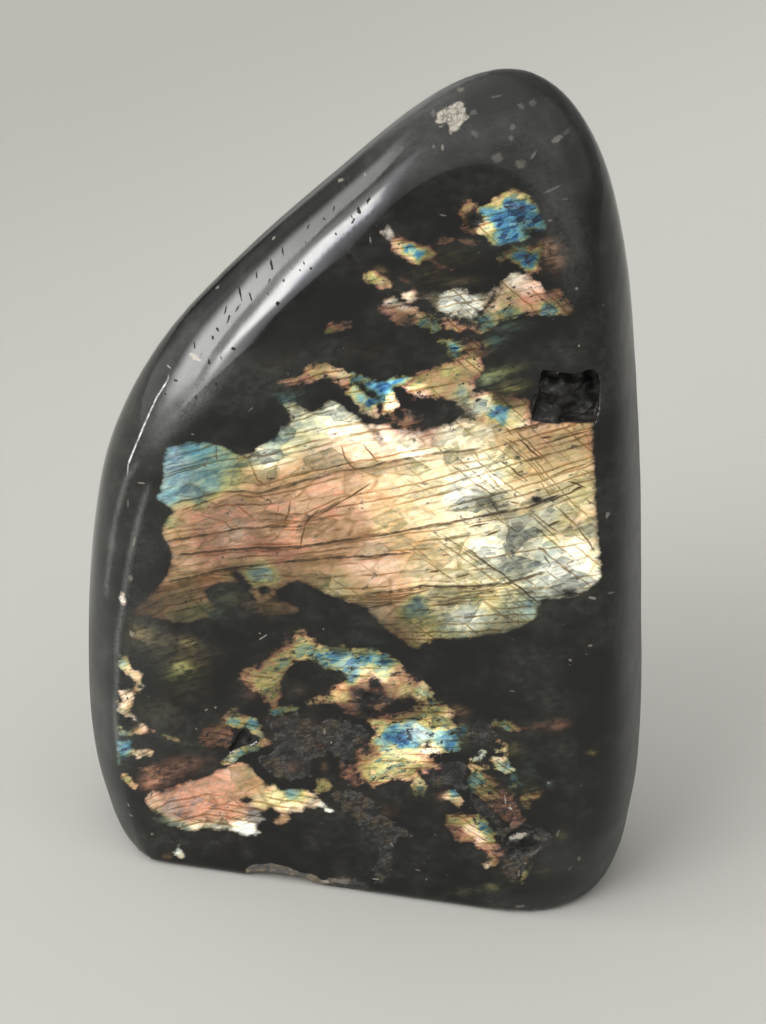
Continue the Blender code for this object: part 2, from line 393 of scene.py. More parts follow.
shares = np.stack([out[rim], fore[rim]]) / size_now
full = (shares**RIM_SQUARENESS).sum(0) ** (-1 / RIM_SQUARENESS)
grown = 1 + (full - 1) * np.interp(points[rim, 2], *RIM_SQUARENESS_AT)
points[rim, 0] = edge_x[rim] + (wide_x[rim] - edge_x[rim]) * out[rim] * grown
points[rim, 1] = wide_y[rim] - (wide_y[rim] - face_y(points[rim, 2])) * fore[rim] * grown

# The foot's edge was broken by hand: points below its rounding move inwards, square to the foot's outline.
ring = points[np.abs(points[:, 2] - FOOT_ROUNDING) < 0.5, :2]
middle = (ring.min(0) + ring.max(0)) / 2
turn_of = np.arctan2(*(ring - middle).T[::-1])
section = []
for angle in np.radians(np.arange(-180, 180, 5)):
    here = ring[np.abs((turn_of - angle + np.pi) % (2 * np.pi) - np.pi) < math.radians(3.5)]
    section.append(here[((here - middle) ** 2).sum(1).argmax()] if len(here) else section[-1])
section = smooth_outline(section, 2)
low = np.where(points[:, 2] < FOOT_ROUNDING)[0]
step = 0.4
foot = points[low, :2]
inward = np.stack([depth_inside(foot + way, section, 99) - depth_inside(foot - way, section, 99)
                   for way in ((step, 0.0), (0.0, step))], 1)
inward /= np.maximum(np.linalg.norm(inward, axis=1, keepdims=True), step / 2)
depth = depth_inside(foot, section, 99)
cut = FOOT_ROUNDING - np.sqrt(np.maximum(FOOT_ROUNDING**2 - (FOOT_ROUNDING - points[low, 2]) ** 2, 0))
points[low, :2] += inward * (cut * np.clip(1 - depth / (FOOT_FADE * FOOT_ROUNDING), 0, 1))[:, None]
put_positions(even, points)

# ---------------------------------------------------------------- stone: its voids
# Softer grains broke out while the stone was ground. They left a ragged hole at the right edge, a
# three-cornered pit at the lower left and a shallow hollow at the lower right, all with rough floors.

VOID_FLOORS = (  # for each mouth: the width of its wall, and its depths at points x, z
    (0.35, (
        (24, 73.4, 2.3), (26.6, 73.4, 2.6), (28.7, 73.2, 2.9), (29, 71, 2.4), (23.4, 71.6, 0.9),
        (25.4, 71.8, 0.7), (27.2, 71.6, 1.3), (22.9, 70.3, 1.1), (25.6, 70, 0.9), (28.3, 69.9, 0.9),
        (23.9, 69.3, 1.7), (26.4, 69, 1.9), (28.3, 69.2, 1.5), (23.9, 68.5, 0.45))),
    (0.22, ((-13.2, 18.9, 0.7), (-11.2, 20.3, 0.7), (-12.4, 21, 0.8))),
    (0.55, (
        (22.2, 10.4, 0.45), (23.4, 11.6, 0.3), (24.6, 9.8, 0.65), (25.6, 11.4, 0.4), (24.4, 12.8, 0.55),
        (22.6, 12, 0.6))),
)
FLOOR_REACH = 0.55  # how far one of those depths spreads
MOUTH_LIP, AROUND = 0.3, 1.2  # the ground that goes with a mouth, and the ground whose level it takes up


def crag(point, size):
    """Broken ground: blunt facets with sharp dips between them."""
    near = Vector(point) / size
    return 1.0 - 2.0 * abs(noise.noise(near)) - 0.6 * abs(noise.noise(near * 2.3))


def into_void(points, outline):
    """Depth inside a void's mouth, on the front of the stone only."""
    inside = depth_inside(points[:, [0, 2]], outline, NEAR_ENOUGH)
    inside[points[:, 1] > FRONT] = -NEAR_ENOUGH
    return inside


def gaps(spots, centres):
    """The squared distance from each spot to each of some centres."""
    return ((spots[:, None, :] - centres[None, :, :2]) ** 2).sum(2)


bm = bmesh.new()
bm.from_mesh(even)
near_void = np.max([into_void(positions(even), outline) for outline in void_outlines], axis=0)
bm.verts.ensure_lookup_table()
fine_edges = [edge for edge in bm.edges if min(near_void[vert.index] for vert in edge.verts) > -MOUTH_LIP]
bmesh.ops.subdivide_edges(bm, edges=fine_edges, cuts=1, use_grid_fill=True)
bmesh.ops.triangulate(bm, faces=[face for face in bm.faces if len(face.verts) > 4])
bm.to_mesh(even)
bm.free()

points = positions(even)
void_floor = np.zeros(len(points))
for outline, (wall, floor) in zip(void_outlines, VOID_FLOORS):
    inside = into_void(points, outline)
    hole = np.where(inside > -MOUTH_LIP)[0]
    ring = np.where((inside > -AROUND) & (inside <= -MOUTH_LIP))[0]
    nearest = gaps(points[hole][:, [0, 2]], points[ring][:, [0, 2]]).argmin(1)
    rounding = (points[ring, 1] - face_y(points[ring, 2]))[nearest]
    depths = np.array(floor)
    weight = np.exp(-gaps(points[hole][:, [0, 2]], depths) / FLOOR_REACH**2 / 2) + 1e-6
    depth = (weight @ depths[:, 2]) / weight.sum(1)
    ragged = np.array([crag(p, 2.8) for p in points[hole]])
    open_here = np.clip((inside[hole] + 0.12 * ragged) / wall, 0, 1)
    points[hole, 1] = face_y(points[hole, 2]) + rounding + open_here * np.maximum(depth + 0.22 * ragged, 0.1)
    void_floor[hole] = open_here
put_positions(even, points)

# ---------------------------------------------------------------- stone: its flashes
# Thin crystal layers inside the feldspar throw back light in one colour by their thickness: blue where they
# are thinnest, then green, yellow, orange and purple-brown. They lie in patches that fade through those
# colours at their borders, and dark inclusions break them up.

# Layer colours run from 0 to 1: deep blue 0.10, sky 0.25, teal 0.34, green 0.45, yellow 0.54, cream 0.60,
# gold 0.66, orange 0.72, copper 0.79, salmon 0.85, pink-brown 0.90 and purple 0.95.
# Each patch has a name, how far its colour runs on towards purple at its border, how broken it is, the
# reach of its colour spots in millimetres, its outline, and its spots: x, z, layer colour, strength and
# paleness.
PATCHES = (
    ("broad_flash", 0.05, 0, 2, (
        (-22.3, 59), (-21, 59.6), (-18, 60.4), (-15.5, 60.2), (-13, 59.3), (-11.8, 59.6), (-10.5, 61),
        (-9, 61.8), (-8.2, 63.2), (-7, 64.2), (-7.2, 65.4), (-8, 66.5), (-6.5, 66.8), (-4.6, 66),
        (-3.2, 66.6), (-1.9, 67.6), (-0.6, 67.1), (1.2, 65.9), (2.8, 65.1), (4.5, 65.2), (7, 65), (9, 65.2),
        (10.6, 65.9), (12.4, 66.2), (13.6, 67.4), (16, 67.2), (20, 67), (22.4, 68), (25, 68), (29, 69.2),
        (29.4, 66), (30, 61.5), (30.7, 55), (31.5, 49.5), (31.3, 48.2), (29, 45.9), (26, 45.2),
        (24.6, 44.8), (24.3, 43.5), (23.4, 41.6), (20, 39.7), (17, 38.7), (14, 38), (12, 37.8),
        (10.3, 36.8), (9, 36.1), (6.2, 37.8), (4.5, 39.1), (3, 40.7), (1, 41.2), (-1, 41.7), (-3.5, 42.6),
        (-6, 43.2), (-7.4, 42.2), (-8.6, 41.2), (-6.4, 40.3), (-5.3, 39.2), (-7, 38.6), (-9.6, 38.3),
        (-10.8, 39.8), (-12.2, 41.6), (-14.6, 41.8), (-17.2, 40.9), (-17.1, 39.6), (-15.6, 38.2),
        (-16.4, 37.2), (-18.6, 36), (-20.4, 35.4), (-25, 35.8), (-27.3, 35.3), (-25.2, 38.2), (-23, 41),
        (-21.9, 43), (-22, 46), (-23, 47), (-22.5, 49.5), (-21.3, 50.6), (-23.5, 52), (-23.2, 53.5),
        (-22.7, 55.5), (-22.8, 57.5)), (
        (-22.5, 57.5, 0.25, 0.8, 0.3), (-21, 57, 0.25, 0.73, 0.35), (-18, 59.2, 0.26, 0.62, 0.1),
        (-15.5, 57.5, 0.36, 0.66, 0.1), (-19, 56, 0.3, 0.57, 0.25), (-21.5, 53.5, 0.31, 0.72, 0.4),
        (-18.5, 53.6, 0.38, 0.64, 0.35), (-17, 55, 0.34, 0.66, 0.15), (-14, 59, 0.35, 0.62, 0.1),
        (-14, 56.2, 0.52, 0.62, 0.15), (-22.8, 52.3, 0.26, 0.74, 0.2), (-12, 57, 0.66, 0.68, 0.1),
        (-9.5, 59.3, 0.48, 0.98, 0.85), (-11, 58.8, 0.5, 0.86, 0.6), (-9, 61.5, 0.31, 0.8, 0.3),
        (-7, 63, 0.45, 0.74, 0.45), (-5, 65, 0.46, 0.8, 0.5), (-3, 64.2, 0.48, 0.86, 0.55),
        (-1, 65.6, 0.47, 0.95, 0.7), (-2, 67, 0.42, 0.95, 0.6), (0.5, 64.1, 0.53, 0.96, 0.65),
        (-5, 61.6, 0.5, 0.7, 0.45), (-7.4, 60.4, 0.5, 0.82, 0.4), (-3, 60.7, 0.71, 0.78, 0.35),
        (0, 62.3, 0.73, 0.98, 0.3), (2.4, 63.2, 0.71, 0.98, 0.4), (-6, 58.2, 0.71, 0.79, 0.15),
        (-8.5, 56.8, 0.73, 0.74, 0.05), (-4.5, 59.4, 0.73, 0.75, 0.2), (-11, 55.8, 0.74, 0.66, 0),
        (-20, 50, 0.8, 0.68, 0.05), (-17, 48, 0.82, 0.66, 0.1), (-14, 52, 0.83, 0.7, 0.1),
        (-9, 53, 0.81, 0.77, 0.1), (-16, 51, 0.83, 0.66, 0.05), (-21, 48.3, 0.75, 0.7, 0.1),
        (-22.3, 49.4, 0.4, 0.76, 0.3), (-20, 44.5, 0.78, 0.76, 0.15), (-16, 45.6, 0.84, 0.6, 0),
        (-12, 46.4, 0.84, 0.58, 0), (-7, 49.6, 0.82, 0.85, 0.05), (-3, 52, 0.8, 0.76, 0.05),
        (-8, 46.6, 0.83, 0.58, 0), (-4, 55.2, 0.77, 0.82, 0.1), (0, 57, 0.77, 0.84, 0.15),
        (3, 55.6, 0.74, 1.03, 0.15), (1, 52.6, 0.78, 0.78, 0.05), (-1, 49.2, 0.77, 0.7, 0.05),
        (-13.8, 47.8, 0.83, 0.8, 0.3), (-16.5, 43.2, 0.78, 0.62, 0.05), (-20.5, 41.6, 0.68, 0.58, 0.1),
        (-14, 43.2, 0.62, 0.41, 0.05), (-10.5, 43.6, 0.36, 0.56, 0.35), (-6, 43.9, 0.7, 0.5, 0.05),
        (-3, 44.6, 0.72, 0.6, 0.05), (-1, 42.8, 0.55, 0.58, 0.3), (2, 43.4, 0.66, 0.62, 0.1),
        (5, 60, 0.71, 0.98, 0.25), (8, 58, 0.66, 1, 0.3), (11, 60, 0.62, 1, 0.35), (6, 53, 0.67, 0.96, 0.2),
        (10, 54, 0.63, 1, 0.35), (13, 52, 0.61, 0.99, 0.4), (15, 58.2, 0.5, 0.92, 0.85),
        (17, 60.5, 0.52, 1, 0.7), (13, 62.3, 0.6, 0.85, 0.45), (19, 62.4, 0.56, 0.96, 0.4),
        (22, 61, 0.63, 0.79, 0.1), (25, 63, 0.64, 0.7, 0.05), (27, 65.2, 0.6, 0.62, 0.1),
        (28.5, 62, 0.61, 0.81, 0.2), (23.6, 65.3, 0.72, 0.74, 0.1), (20, 65.1, 0.68, 0.8, 0.15),
        (16, 65, 0.62, 0.94, 0.45), (12, 64.4, 0.63, 1.13, 0.55), (8, 63.5, 0.62, 1.16, 0.6),
        (5, 64.2, 0.69, 0.98, 0.45), (9.4, 65, 0.95, 0.8, 0.25), (7, 65.4, 0.9, 0.66, 0.25),
        (26, 60, 0.6, 0.84, 0.35), (28, 57, 0.6, 0.84, 0.35), (30, 59, 0.57, 0.8, 0.25),
        (22, 58.2, 0.6, 0.88, 0.4), (17.8, 56.6, 0.52, 0.6, 0.55), (20.6, 53.3, 0.5, 0.74, 0.6),
        (22.4, 51.2, 0.52, 0.64, 0.6), (24.7, 50.6, 0.36, 0.75, 0.65), (24.5, 56.3, 0.52, 0.76, 0.6),
        (26.6, 54.2, 0.62, 0.84, 0.3), (28.2, 51.6, 0.5, 0.96, 0.8), (30.4, 50.8, 0.57, 0.92, 0.45),
        (30.8, 53.6, 0.56, 0.74, 0.5), (26.4, 48.2, 0.41, 0.92, 0.85), (29.5, 48.4, 0.46, 0.96, 0.75),
        (28, 46.4, 0.46, 0.52, 0.7), (24, 47, 0.44, 0.82, 0.6), (21, 49, 0.5, 0.8, 0.6),
        (18, 50, 0.51, 1, 0.75), (16.5, 53.8, 0.58, 0.94, 0.5), (15, 48.2, 0.61, 0.98, 0.4),
        (11, 49.2, 0.68, 0.94, 0.2), (8, 49.6, 0.68, 0.86, 0.1), (5, 47.6, 0.75, 0.88, 0.3),
        (3, 46, 0.77, 0.84, 0.3), (6, 45, 0.73, 0.82, 0.2), (10, 46.6, 0.66, 0.92, 0.3),
        (14, 46, 0.61, 0.94, 0.4), (18, 46.6, 0.58, 0.98, 0.5), (21, 45.6, 0.52, 0.86, 0.45),
        (23.4, 43.8, 0.36, 0.7, 0.35), (20.5, 43.2, 0.47, 0.72, 0.35), (17, 43.4, 0.57, 0.82, 0.25),
        (13, 42.8, 0.6, 0.84, 0.4), (16.5, 41.4, 0.38, 0.88, 0.75), (14.2, 40.7, 0.5, 0.92, 0.75),
        (20.4, 41.2, 0.5, 0.46, 0.4), (17.6, 39.7, 0.48, 0.36, 0.35), (8.6, 40.3, 0.32, 0.49, 0.3),
        (5.8, 41.4, 0.74, 0.58, 0.1), (4.3, 40.2, 0.6, 0.46, 0.35), (9, 39, 0.76, 0.48, 0),
        (12, 39.5, 0.54, 0.56, 0.15), (13.8, 38.9, 0.4, 0.56, 0.35), (10.3, 37.4, 0.55, 0.7, 0),
        (8.4, 37.7, 0.62, 0.42, 0), (7, 38.6, 0.74, 0.4, 0), (-22, 38.1, 0.71, 0.4, 0),
        (-18.5, 38.6, 0.7, 0.4, 0), (-24.8, 36.6, 0.72, 0.3, 0), (-20.2, 36.4, 0.52, 0.26, 0.3),
        (-17.6, 37.2, 0.42, 0.3, 0.35), (-10, 41.2, 0.68, 0.53, 0), (-7.4, 39.8, 0.76, 0.42, 0.05),
        (-9.4, 39.2, 0.66, 0.28, 0), (24.5, 67.3, 0.74, 0.92, 0.1), (27, 67.8, 0.74, 0.86, 0),
        (28.5, 66.8, 0.8, 0.82, 0), (26, 66.2, 0.66, 0.74, 0.1), (28.7, 68.7, 0.56, 0.62, 0),
        (22.8, 67.2, 0.8, 0.76, 0.35), (21, 66, 0.68, 0.76, 0.1))),
    ("blue_ridge", 0.22, 0.3, 0.9, (
        (-0.3, 68.4), (0.2, 69.4), (0.1, 71.3), (1.5, 71.4), (3, 70.6), (5, 71.1), (7.6, 72), (8.2, 71.3),
        (6.6, 70.3), (5.3, 69.5), (6, 69.1), (6.4, 68), (5.6, 67), (4.4, 66.2), (2.9, 65.9), (1.1, 67.2)), (
        (1.6, 70.7, 0.16, 0.6, 0), (4.3, 70.2, 0.11, 1.23, 0), (6.4, 71.2, 0.2, 0.94, 0),
        (1, 68.5, 0.3, 0.82, 0.2), (2.6, 67.8, 0.21, 0.74, 0.05), (3.8, 68.8, 0.17, 0.72, 0),
        (5.4, 68.2, 0.55, 1.74, 0.35), (4.6, 66.9, 0.55, 0.92, 0.3), (3.3, 66.3, 0.6, 0.85, 0.4),
        (2, 66.8, 0.45, 0.8, 0.4))),
    ("gold_strip", 0.1, 0.4, 0.9, (
        (-8.8, 69.1), (-7.8, 69.6), (-6.2, 70.4), (-4.8, 71.7), (-3.4, 72.4), (-1.6, 72), (-0.2, 71.5),
        (0.4, 70.3), (0, 69.2), (-1.4, 69.3), (-2.2, 70.1), (-4, 69.7), (-6, 69.1), (-7.7, 68.7)), (
        (-7, 69.3, 0.8, 0.62, 0.1), (-5, 69.9, 0.8, 0.72, 0.05), (-4.2, 71.1, 0.55, 0.66, 0),
        (-3, 71.9, 0.52, 0.46, 0), (-1, 69.9, 0.76, 0.72, 0.1), (-2.4, 70.9, 0.64, 0.84, 0.2),
        (-0.7, 70.9, 0.6, 0.8, 0.3))),
    ("tan_green_spot", 0.15, 0.4, 0.8, (
        (-3.3, 75.9), (-2.6, 77), (-1.2, 77.7), (0.2, 77.7), (-0.1, 77), (-1.6, 76.1), (-2.6, 75.7)), (
        (-1.5, 77.2, 0.74, 0.56, 0), (-1.7, 76.3, 0.5, 0.48, 0))),
    ("upper_middle", 0.22, 0.35, 1, (
        (6.6, 70.9), (8, 72.3), (10, 73.2), (12.4, 74.2), (13.7, 75.3), (13.6, 76.7), (14.8, 77.4),
        (16, 77), (16.2, 75.8), (15.7, 74.7), (16.4, 73.8), (15.6, 72.3), (15.2, 70.8), (17, 71),
        (19.4, 71), (21.4, 70.9), (22, 69.6), (22.2, 68.2), (24.6, 68), (22.4, 66.6), (19, 66),
        (16.6, 66.6), (14.4, 66.4), (13.8, 68), (12.4, 69.2), (9, 69.2), (7, 69.6), (6, 70.1)), (
        (8.2, 71.6, 0.5, 0.46, 0), (10, 72.1, 0.55, 0.6, 0), (12.4, 73, 0.57, 0.72, 0),
        (15, 73.9, 0.64, 0.79, 0.1), (14.3, 72.4, 0.68, 0.61, 0.05), (10.6, 71, 0.62, 0.66, 0.1),
        (8.4, 69.9, 0.68, 1.33, 0.2), (12.2, 70.8, 0.66, 0.62, 0.1), (13.8, 70.2, 0.36, 0.58, 0.5),
        (15, 70.2, 0.6, 0.81, 0.3), (16, 69, 0.48, 0.94, 0.6), (17.9, 68, 0.29, 0.84, 0.15),
        (17, 66.9, 0.62, 0.9, 0.1), (20.4, 67.6, 0.58, 0.96, 0.3), (21.5, 69, 0.68, 0.74, 0.05),
        (20.6, 70.4, 0.72, 0.5, 0), (18.8, 70.4, 0.5, 0.34, 0), (14.8, 76, 0.76, 0.56, 0),
        (13.6, 68.4, 0.4, 0.6, 0.5))),
    ("upper_blue", 0.14, 0.2, 0.8, (
        (12.3, 92.3), (12.6, 93.4), (13.4, 94.1), (14.4, 93.5), (15.6, 93.5), (16.4, 94.3), (17.4, 95.3),
        (18.8, 95.7), (20.2, 95.2), (21.2, 94.3), (22.1, 92.8), (22.8, 91.7), (22.5, 90.6), (21.4, 90.4),
        (20.4, 89.8), (18.8, 89.1), (17.2, 88.6), (16, 89.1), (15.2, 89.9), (13.6, 90), (12.5, 90.4),
        (12.9, 91.4)), (
        (12.8, 92.8, 0.66, 0.62, 0), (13.2, 90.7, 0.66, 0.42, 0), (16.6, 94, 0.52, 0.84, 0.1),
        (18.6, 95.1, 0.5, 0.86, 0.1), (16.4, 92.5, 0.21, 0.79, 0.05), (18.4, 93.6, 0.2, 0.85, 0.1),
        (20.3, 93.6, 0.19, 0.67, 0), (17.5, 91.3, 0.2, 0.75, 0), (20.4, 92.3, 0.19, 0.61, 0),
        (18, 90.3, 0.18, 0.67, 0), (21.8, 91.4, 0.21, 0.6, 0), (15.9, 90.6, 0.5, 0.92, 0.4),
        (20.6, 95, 0.44, 0.66, 0), (16.3, 89.7, 0.3, 0.66, 0))),
    ("second_blue", 0.34, 0.25, 0.8, (
        (16.9, 87.4), (17.9, 88.5), (19.4, 89.1), (20.8, 89.1), (21.8, 89.7), (22.7, 89.4), (22.4, 88.2),
        (22, 87), (22.5, 85.9), (21.7, 85.3), (20.8, 85.9), (19.8, 86.5), (18.8, 86.7), (18.1, 87.1),
        (17.4, 86.5)), (
        (20, 88.1, 0.12, 0.5, 0), (21.3, 87.2, 0.17, 0.58, 0), (18.8, 87.6, 0.26, 0.44, 0),
        (21.6, 88.9, 0.4, 0.47, 0), (21.8, 86.1, 0.52, 0.72, 0))),
    ("white_lens", 0.1, 0.2, 1, (
        (7.8, 82.2), (9.5, 82.5), (11.5, 82.9), (12.8, 83.4), (14.3, 82.8), (16.2, 83), (17, 83.6),
        (16.6, 82), (15.8, 80.9), (14.6, 79.9), (12.7, 79.5), (11, 79.9), (9.8, 80.8), (8.5, 81.5)), (
        (11.9, 81.4, 0.46, 1.1, 0.8), (14.4, 81.9, 0.48, 1.08, 0.9), (9.2, 81.8, 0.6, 0.4, 0.5),
        (13, 80.2, 0.5, 0.79, 0.7), (16.2, 82.6, 0.66, 0.72, 0.5))),
    ("pink_sweep", 0.1, 0.3, 1, (
        (15.7, 80.8), (16.8, 82.6), (17.4, 84), (18.4, 85.4), (19.5, 86), (20.9, 85.6), (22.4, 85),
        (23, 84), (24.6, 84.4), (25.8, 83), (26.1, 81.8), (25, 81.2), (23.4, 80.9), (21.8, 81),
        (20.3, 80.5), (19, 80.2), (17.7, 79.4), (16.7, 78.4), (15.6, 78.2), (15.1, 79.5)), (
        (19.2, 85, 0.64, 0.82, 0.6), (17.9, 83.7, 0.7, 0.78, 0.4), (20.4, 84.1, 0.82, 0.84, 0.4),
        (22, 84.7, 0.8, 0.93, 0.3), (18.9, 82.6, 0.7, 0.66, 0.15), (21.4, 82.6, 0.8, 0.79, 0.05),
        (17, 81, 0.66, 0.78, 0.3), (16.4, 79.2, 0.34, 0.62, 0.2), (18.6, 80.9, 0.34, 0.5, 0.15),
        (23.6, 81.6, 0.3, 0.62, 0.25), (24.9, 82.8, 0.62, 0.4, 0.1), (23.8, 83.4, 0.8, 0.55, 0.1))),
    ("cyan_lens", 0.36, 0.2, 0.7, (
        (3.8, 88.6), (4.5, 88), (4.9, 86.9), (6, 86), (7.5, 85.6), (9, 86), (10, 86.8), (9.4, 87.7),
        (9.9, 88.7), (8.8, 88.9), (7.6, 88.4), (6.6, 89), (5.6, 89.2), (4.9, 88.6)), (
        (6.6, 87.2, 0.26, 0.86, 0.1), (8, 87, 0.24, 0.74, 0), (5.5, 87.6, 0.48, 0.86, 0.2),
        (6.6, 86.5, 0.48, 0.86, 0.15), (6.2, 88.7, 0.72, 0.5, 0), (8.4, 88.5, 0.72, 0.42, 0),
        (9.2, 86.7, 0.5, 0.5, 0))),
    ("white_spikes", 0, 0.2, 0.6, (
        (3.3, 89.2), (3.9, 88.9), (4.2, 88.6), (4.1, 89.4), (4.2, 90.2), (4.7, 89.2), (5, 88.6), (4.5, 88),
        (3.8, 88.3)), (
        (4.2, 89, 0.8, 0.72, 0.8),)),
    ("long_gold_tail", 0.1, 0.5, 0.8, (
        (9.4, 88.6), (10.5, 89.3), (12.5, 89.3), (15, 88.9), (13.2, 88.6), (11.4, 88.7), (10.2, 88.3)), (
        (10.5, 88.9, 0.72, 0.46, 0), (13.4, 89, 0.74, 0.4, 0))),
    ("short_gold_tail", 0.1, 0.5, 0.8, (
        (9.2, 86.6), (10.3, 86.3), (12, 85.5), (11.8, 85.2), (10.2, 85.6), (9.2, 86.1)), (
        (10.3, 86, 0.72, 0.38, 0),)),
    ("tailed_lens", 0.36, 0.2, 0.6, (
        (-0.9, 86.2), (-0.2, 85.3), (0.5, 84.3), (1.2, 83.4), (2.2, 82.6), (3.6, 82.2), (4.8, 82.3),
        (5, 83), (4.2, 83.7), (3.4, 84.4), (2.6, 84.4), (1.7, 84), (1, 84.7), (0.3, 85.6), (-0.3, 86.3)), (
        (2.5, 83.4, 0.28, 0.82, 0), (3.7, 82.9, 0.5, 0.92, 0.2), (0.6, 84.8, 0.72, 0.4, 0),
        (-0.4, 86, 0.72, 0.36, 0), (3.4, 84, 0.56, 0.56, 0))),
    ("oval_ring", 0.16, 0.2, 0.6, (
        (4.8, 83.2), (5.6, 83.7), (6.8, 83.6), (7.7, 82.8), (8.1, 81.9), (7.3, 81.1), (6.2, 81.3),
        (5.3, 82), (4.7, 82.5)), (
        (5.8, 83.5, 0.74, 0.54, 0), (7.6, 83, 0.7, 0.56, 0), (7.1, 81.7, 0.58, 0.94, 0.5),
        (5.2, 82.3, 0.72, 0.66, 0.2))),
    ("pink_middle", 0.12, 0.45, 0.9, (
        (3.2, 79.8), (4, 80.8), (5, 81.8), (6, 80.9), (7.6, 80.6), (9, 80), (10.3, 79.2), (11, 78.2),
        (10.3, 77.5), (9.4, 77.8), (8.5, 77.9), (7.6, 78.2), (6.5, 77.7), (5.4, 78.2), (4.4, 78.7),
        (3.5, 79.1)), (
        (4.8, 79.6, 0.84, 0.62, 0.1), (6.6, 78.9, 0.76, 0.48, 0), (8.2, 79.4, 0.66, 0.62, 0.2),
        (9.2, 78.5, 0.33, 0.52, 0.1), (10.2, 78, 0.34, 0.52, 0.1), (5, 81, 0.6, 0.66, 0.7),
        (6.6, 80.4, 0.7, 0.66, 0.5))),
    ("orange_middle", 0.14, 0.4, 0.8, (
        (10.8, 79.1), (12, 79.1), (13.5, 79.1), (15, 78.8), (15.5, 78), (14, 78.2), (12.8, 77.8),
        (11.9, 77.6), (11.2, 78.2)), (
        (12, 78.6, 0.72, 0.8, 0.1), (13.6, 78.7, 0.72, 0.76, 0.1), (15, 78.4, 0.62, 0.66, 0.2),
        (12.2, 78, 0.58, 0.8, 0.1))),
    ("small_blue", 0.22, 0.35, 0.7, (
        (10.8, 76.9), (12.2, 77), (13, 76.9), (13.9, 76.5), (13.8, 75.6), (13.1, 74.9), (12.4, 74.2),
        (11.7, 75), (11.6, 76), (10.6, 76.3)), (
        (12.8, 76.1, 0.14, 0.77, 0), (11.6, 76.4, 0.28, 0.69, 0.1), (12.2, 74.9, 0.3, 0.58, 0),
        (13.8, 75.9, 0.46, 0.69, 0))),
    ("pink_bits", 0.1, 0.8, 0.9, (
        (4.4, 65.4), (4.9, 66.8), (6.2, 67.5), (7.5, 68), (8.8, 67.4), (9.4, 66.4), (8.8, 65.2),
        (7, 64.9)), (
        (5.4, 66.2, 0.7, 0.46, 0.1), (7.8, 67.4, 0.86, 0.62, 0.2), (7, 66.2, 0.7, 0.5, 0),
        (8.8, 66.2, 0.92, 0.46, 0.1))),
    ("middle_flash", 0.2, 0.55, 1, (
        (-13.7, 28.9), (-12, 30.2), (-10, 31.7), (-8.5, 33.5), (-7, 35.1), (-5.6, 36.4), (-4.8, 36.6),
        (-3.8, 35.8), (-2.7, 35.1), (-1.5, 35), (0.3, 35.3), (2, 35.1), (3.8, 35.3), (5.5, 35.1), (7, 34.6),
        (7.7, 33.6), (8.2, 32.4), (9.6, 32), (10.6, 31.5), (11.6, 30.4), (12, 29.4), (13.3, 29),
        (14.3, 28.4), (14.8, 27.4), (14.6, 26.7), (15.6, 26.5), (16.6, 26.8), (16.4, 25.2), (15.6, 23.6),
        (15, 22.5), (13.2, 22), (12.4, 21.4), (13.1, 20.2), (12.4, 19.3), (11, 18.9), (10.3, 18.6),
        (11.1, 17.7), (11.6, 16.5), (11, 15.3), (9.8, 15.9), (8.2, 17.2), (7, 17.5), (5.8, 16.4), (4.3, 16),
        (3, 16.7), (2.3, 18), (2.1, 20), (2.5, 21.5), (4, 22.6), (4.6, 23.8), (4, 24.8), (2.6, 25.2),
        (1, 25.1), (0, 26.2), (-1.8, 27), (-3.5, 26.2), (-4.1, 26.6), (-3, 28), (-1.8, 28.6), (-0.6, 29.8),
        (0.3, 30.4), (0.2, 31.3), (-1, 31.7), (-2, 31.8), (-3, 32.3), (-5, 32.5), (-6, 32.1), (-7, 30.6),
        (-7.6, 29), (-7.5, 27.5), (-8.2, 25.3), (-9.6, 25.6), (-10.2, 27), (-11.5, 27.5), (-13, 28.2)), (
        (-12.4, 29.1, 0.7, 0.61, 0), (-10.4, 30.6, 0.66, 0.58, 0), (-9.2, 31.6, 0.64, 0.61, 0.1),
        (-7.8, 33.2, 0.66, 0.64, 0), (-6.4, 34.9, 0.7, 0.58, 0), (-5, 36, 0.58, 0.78, 0),
        (-9.8, 28.8, 0.5, 0.6, 0), (-8.4, 30.4, 0.5, 0.51, 0), (-8.4, 27.2, 0.6, 0.45, 0),
        (-7.3, 31.9, 0.52, 0.64, 0), (-5, 34.2, 0.46, 0.78, 0.1), (-3.9, 34.9, 0.52, 0.74, 0),
        (-3, 33.5, 0.34, 0.68, 0.1), (-1.3, 33.4, 0.3, 0.74, 0.1), (-0.5, 34.8, 0.38, 0.41, 0),
        (0.8, 32.9, 0.29, 0.84, 0.3), (1.4, 31.7, 0.27, 0.85, 0.2), (2.4, 34, 0.35, 0.61, 0),
        (4.4, 33.9, 0.31, 0.68, 0), (6.2, 34.1, 0.31, 0.61, 0), (2.8, 32.4, 0.46, 0.95, 0.4),
        (5.2, 32, 0.5, 0.97, 0.4), (7, 33.2, 0.6, 0.88, 0.2), (3.4, 31.3, 0.66, 0.88, 0.2),
        (7, 31.4, 0.7, 0.8, 0.1), (9, 31, 0.72, 0.72, 0.05), (10.6, 30.6, 0.46, 0.83, 0.3),
        (11.3, 29.5, 0.4, 0.65, 0.1), (4.4, 30, 0.84, 0.58, 0.1), (2, 28.4, 0.92, 0.58, 0.15),
        (5.6, 28.9, 0.86, 0.61, 0.1), (3.4, 26.9, 0.92, 0.47, 0.1), (6.6, 29.9, 0.76, 0.76, 0.1),
        (8.6, 30.2, 0.6, 0.72, 0.1), (-0.4, 29.1, 0.66, 0.92, 0), (0.4, 28.1, 0.56, 0.81, 0),
        (-2, 27.6, 0.5, 0.52, 0), (0.8, 26.6, 0.86, 0.5, 0), (5.2, 26.6, 0.86, 0.47, 0),
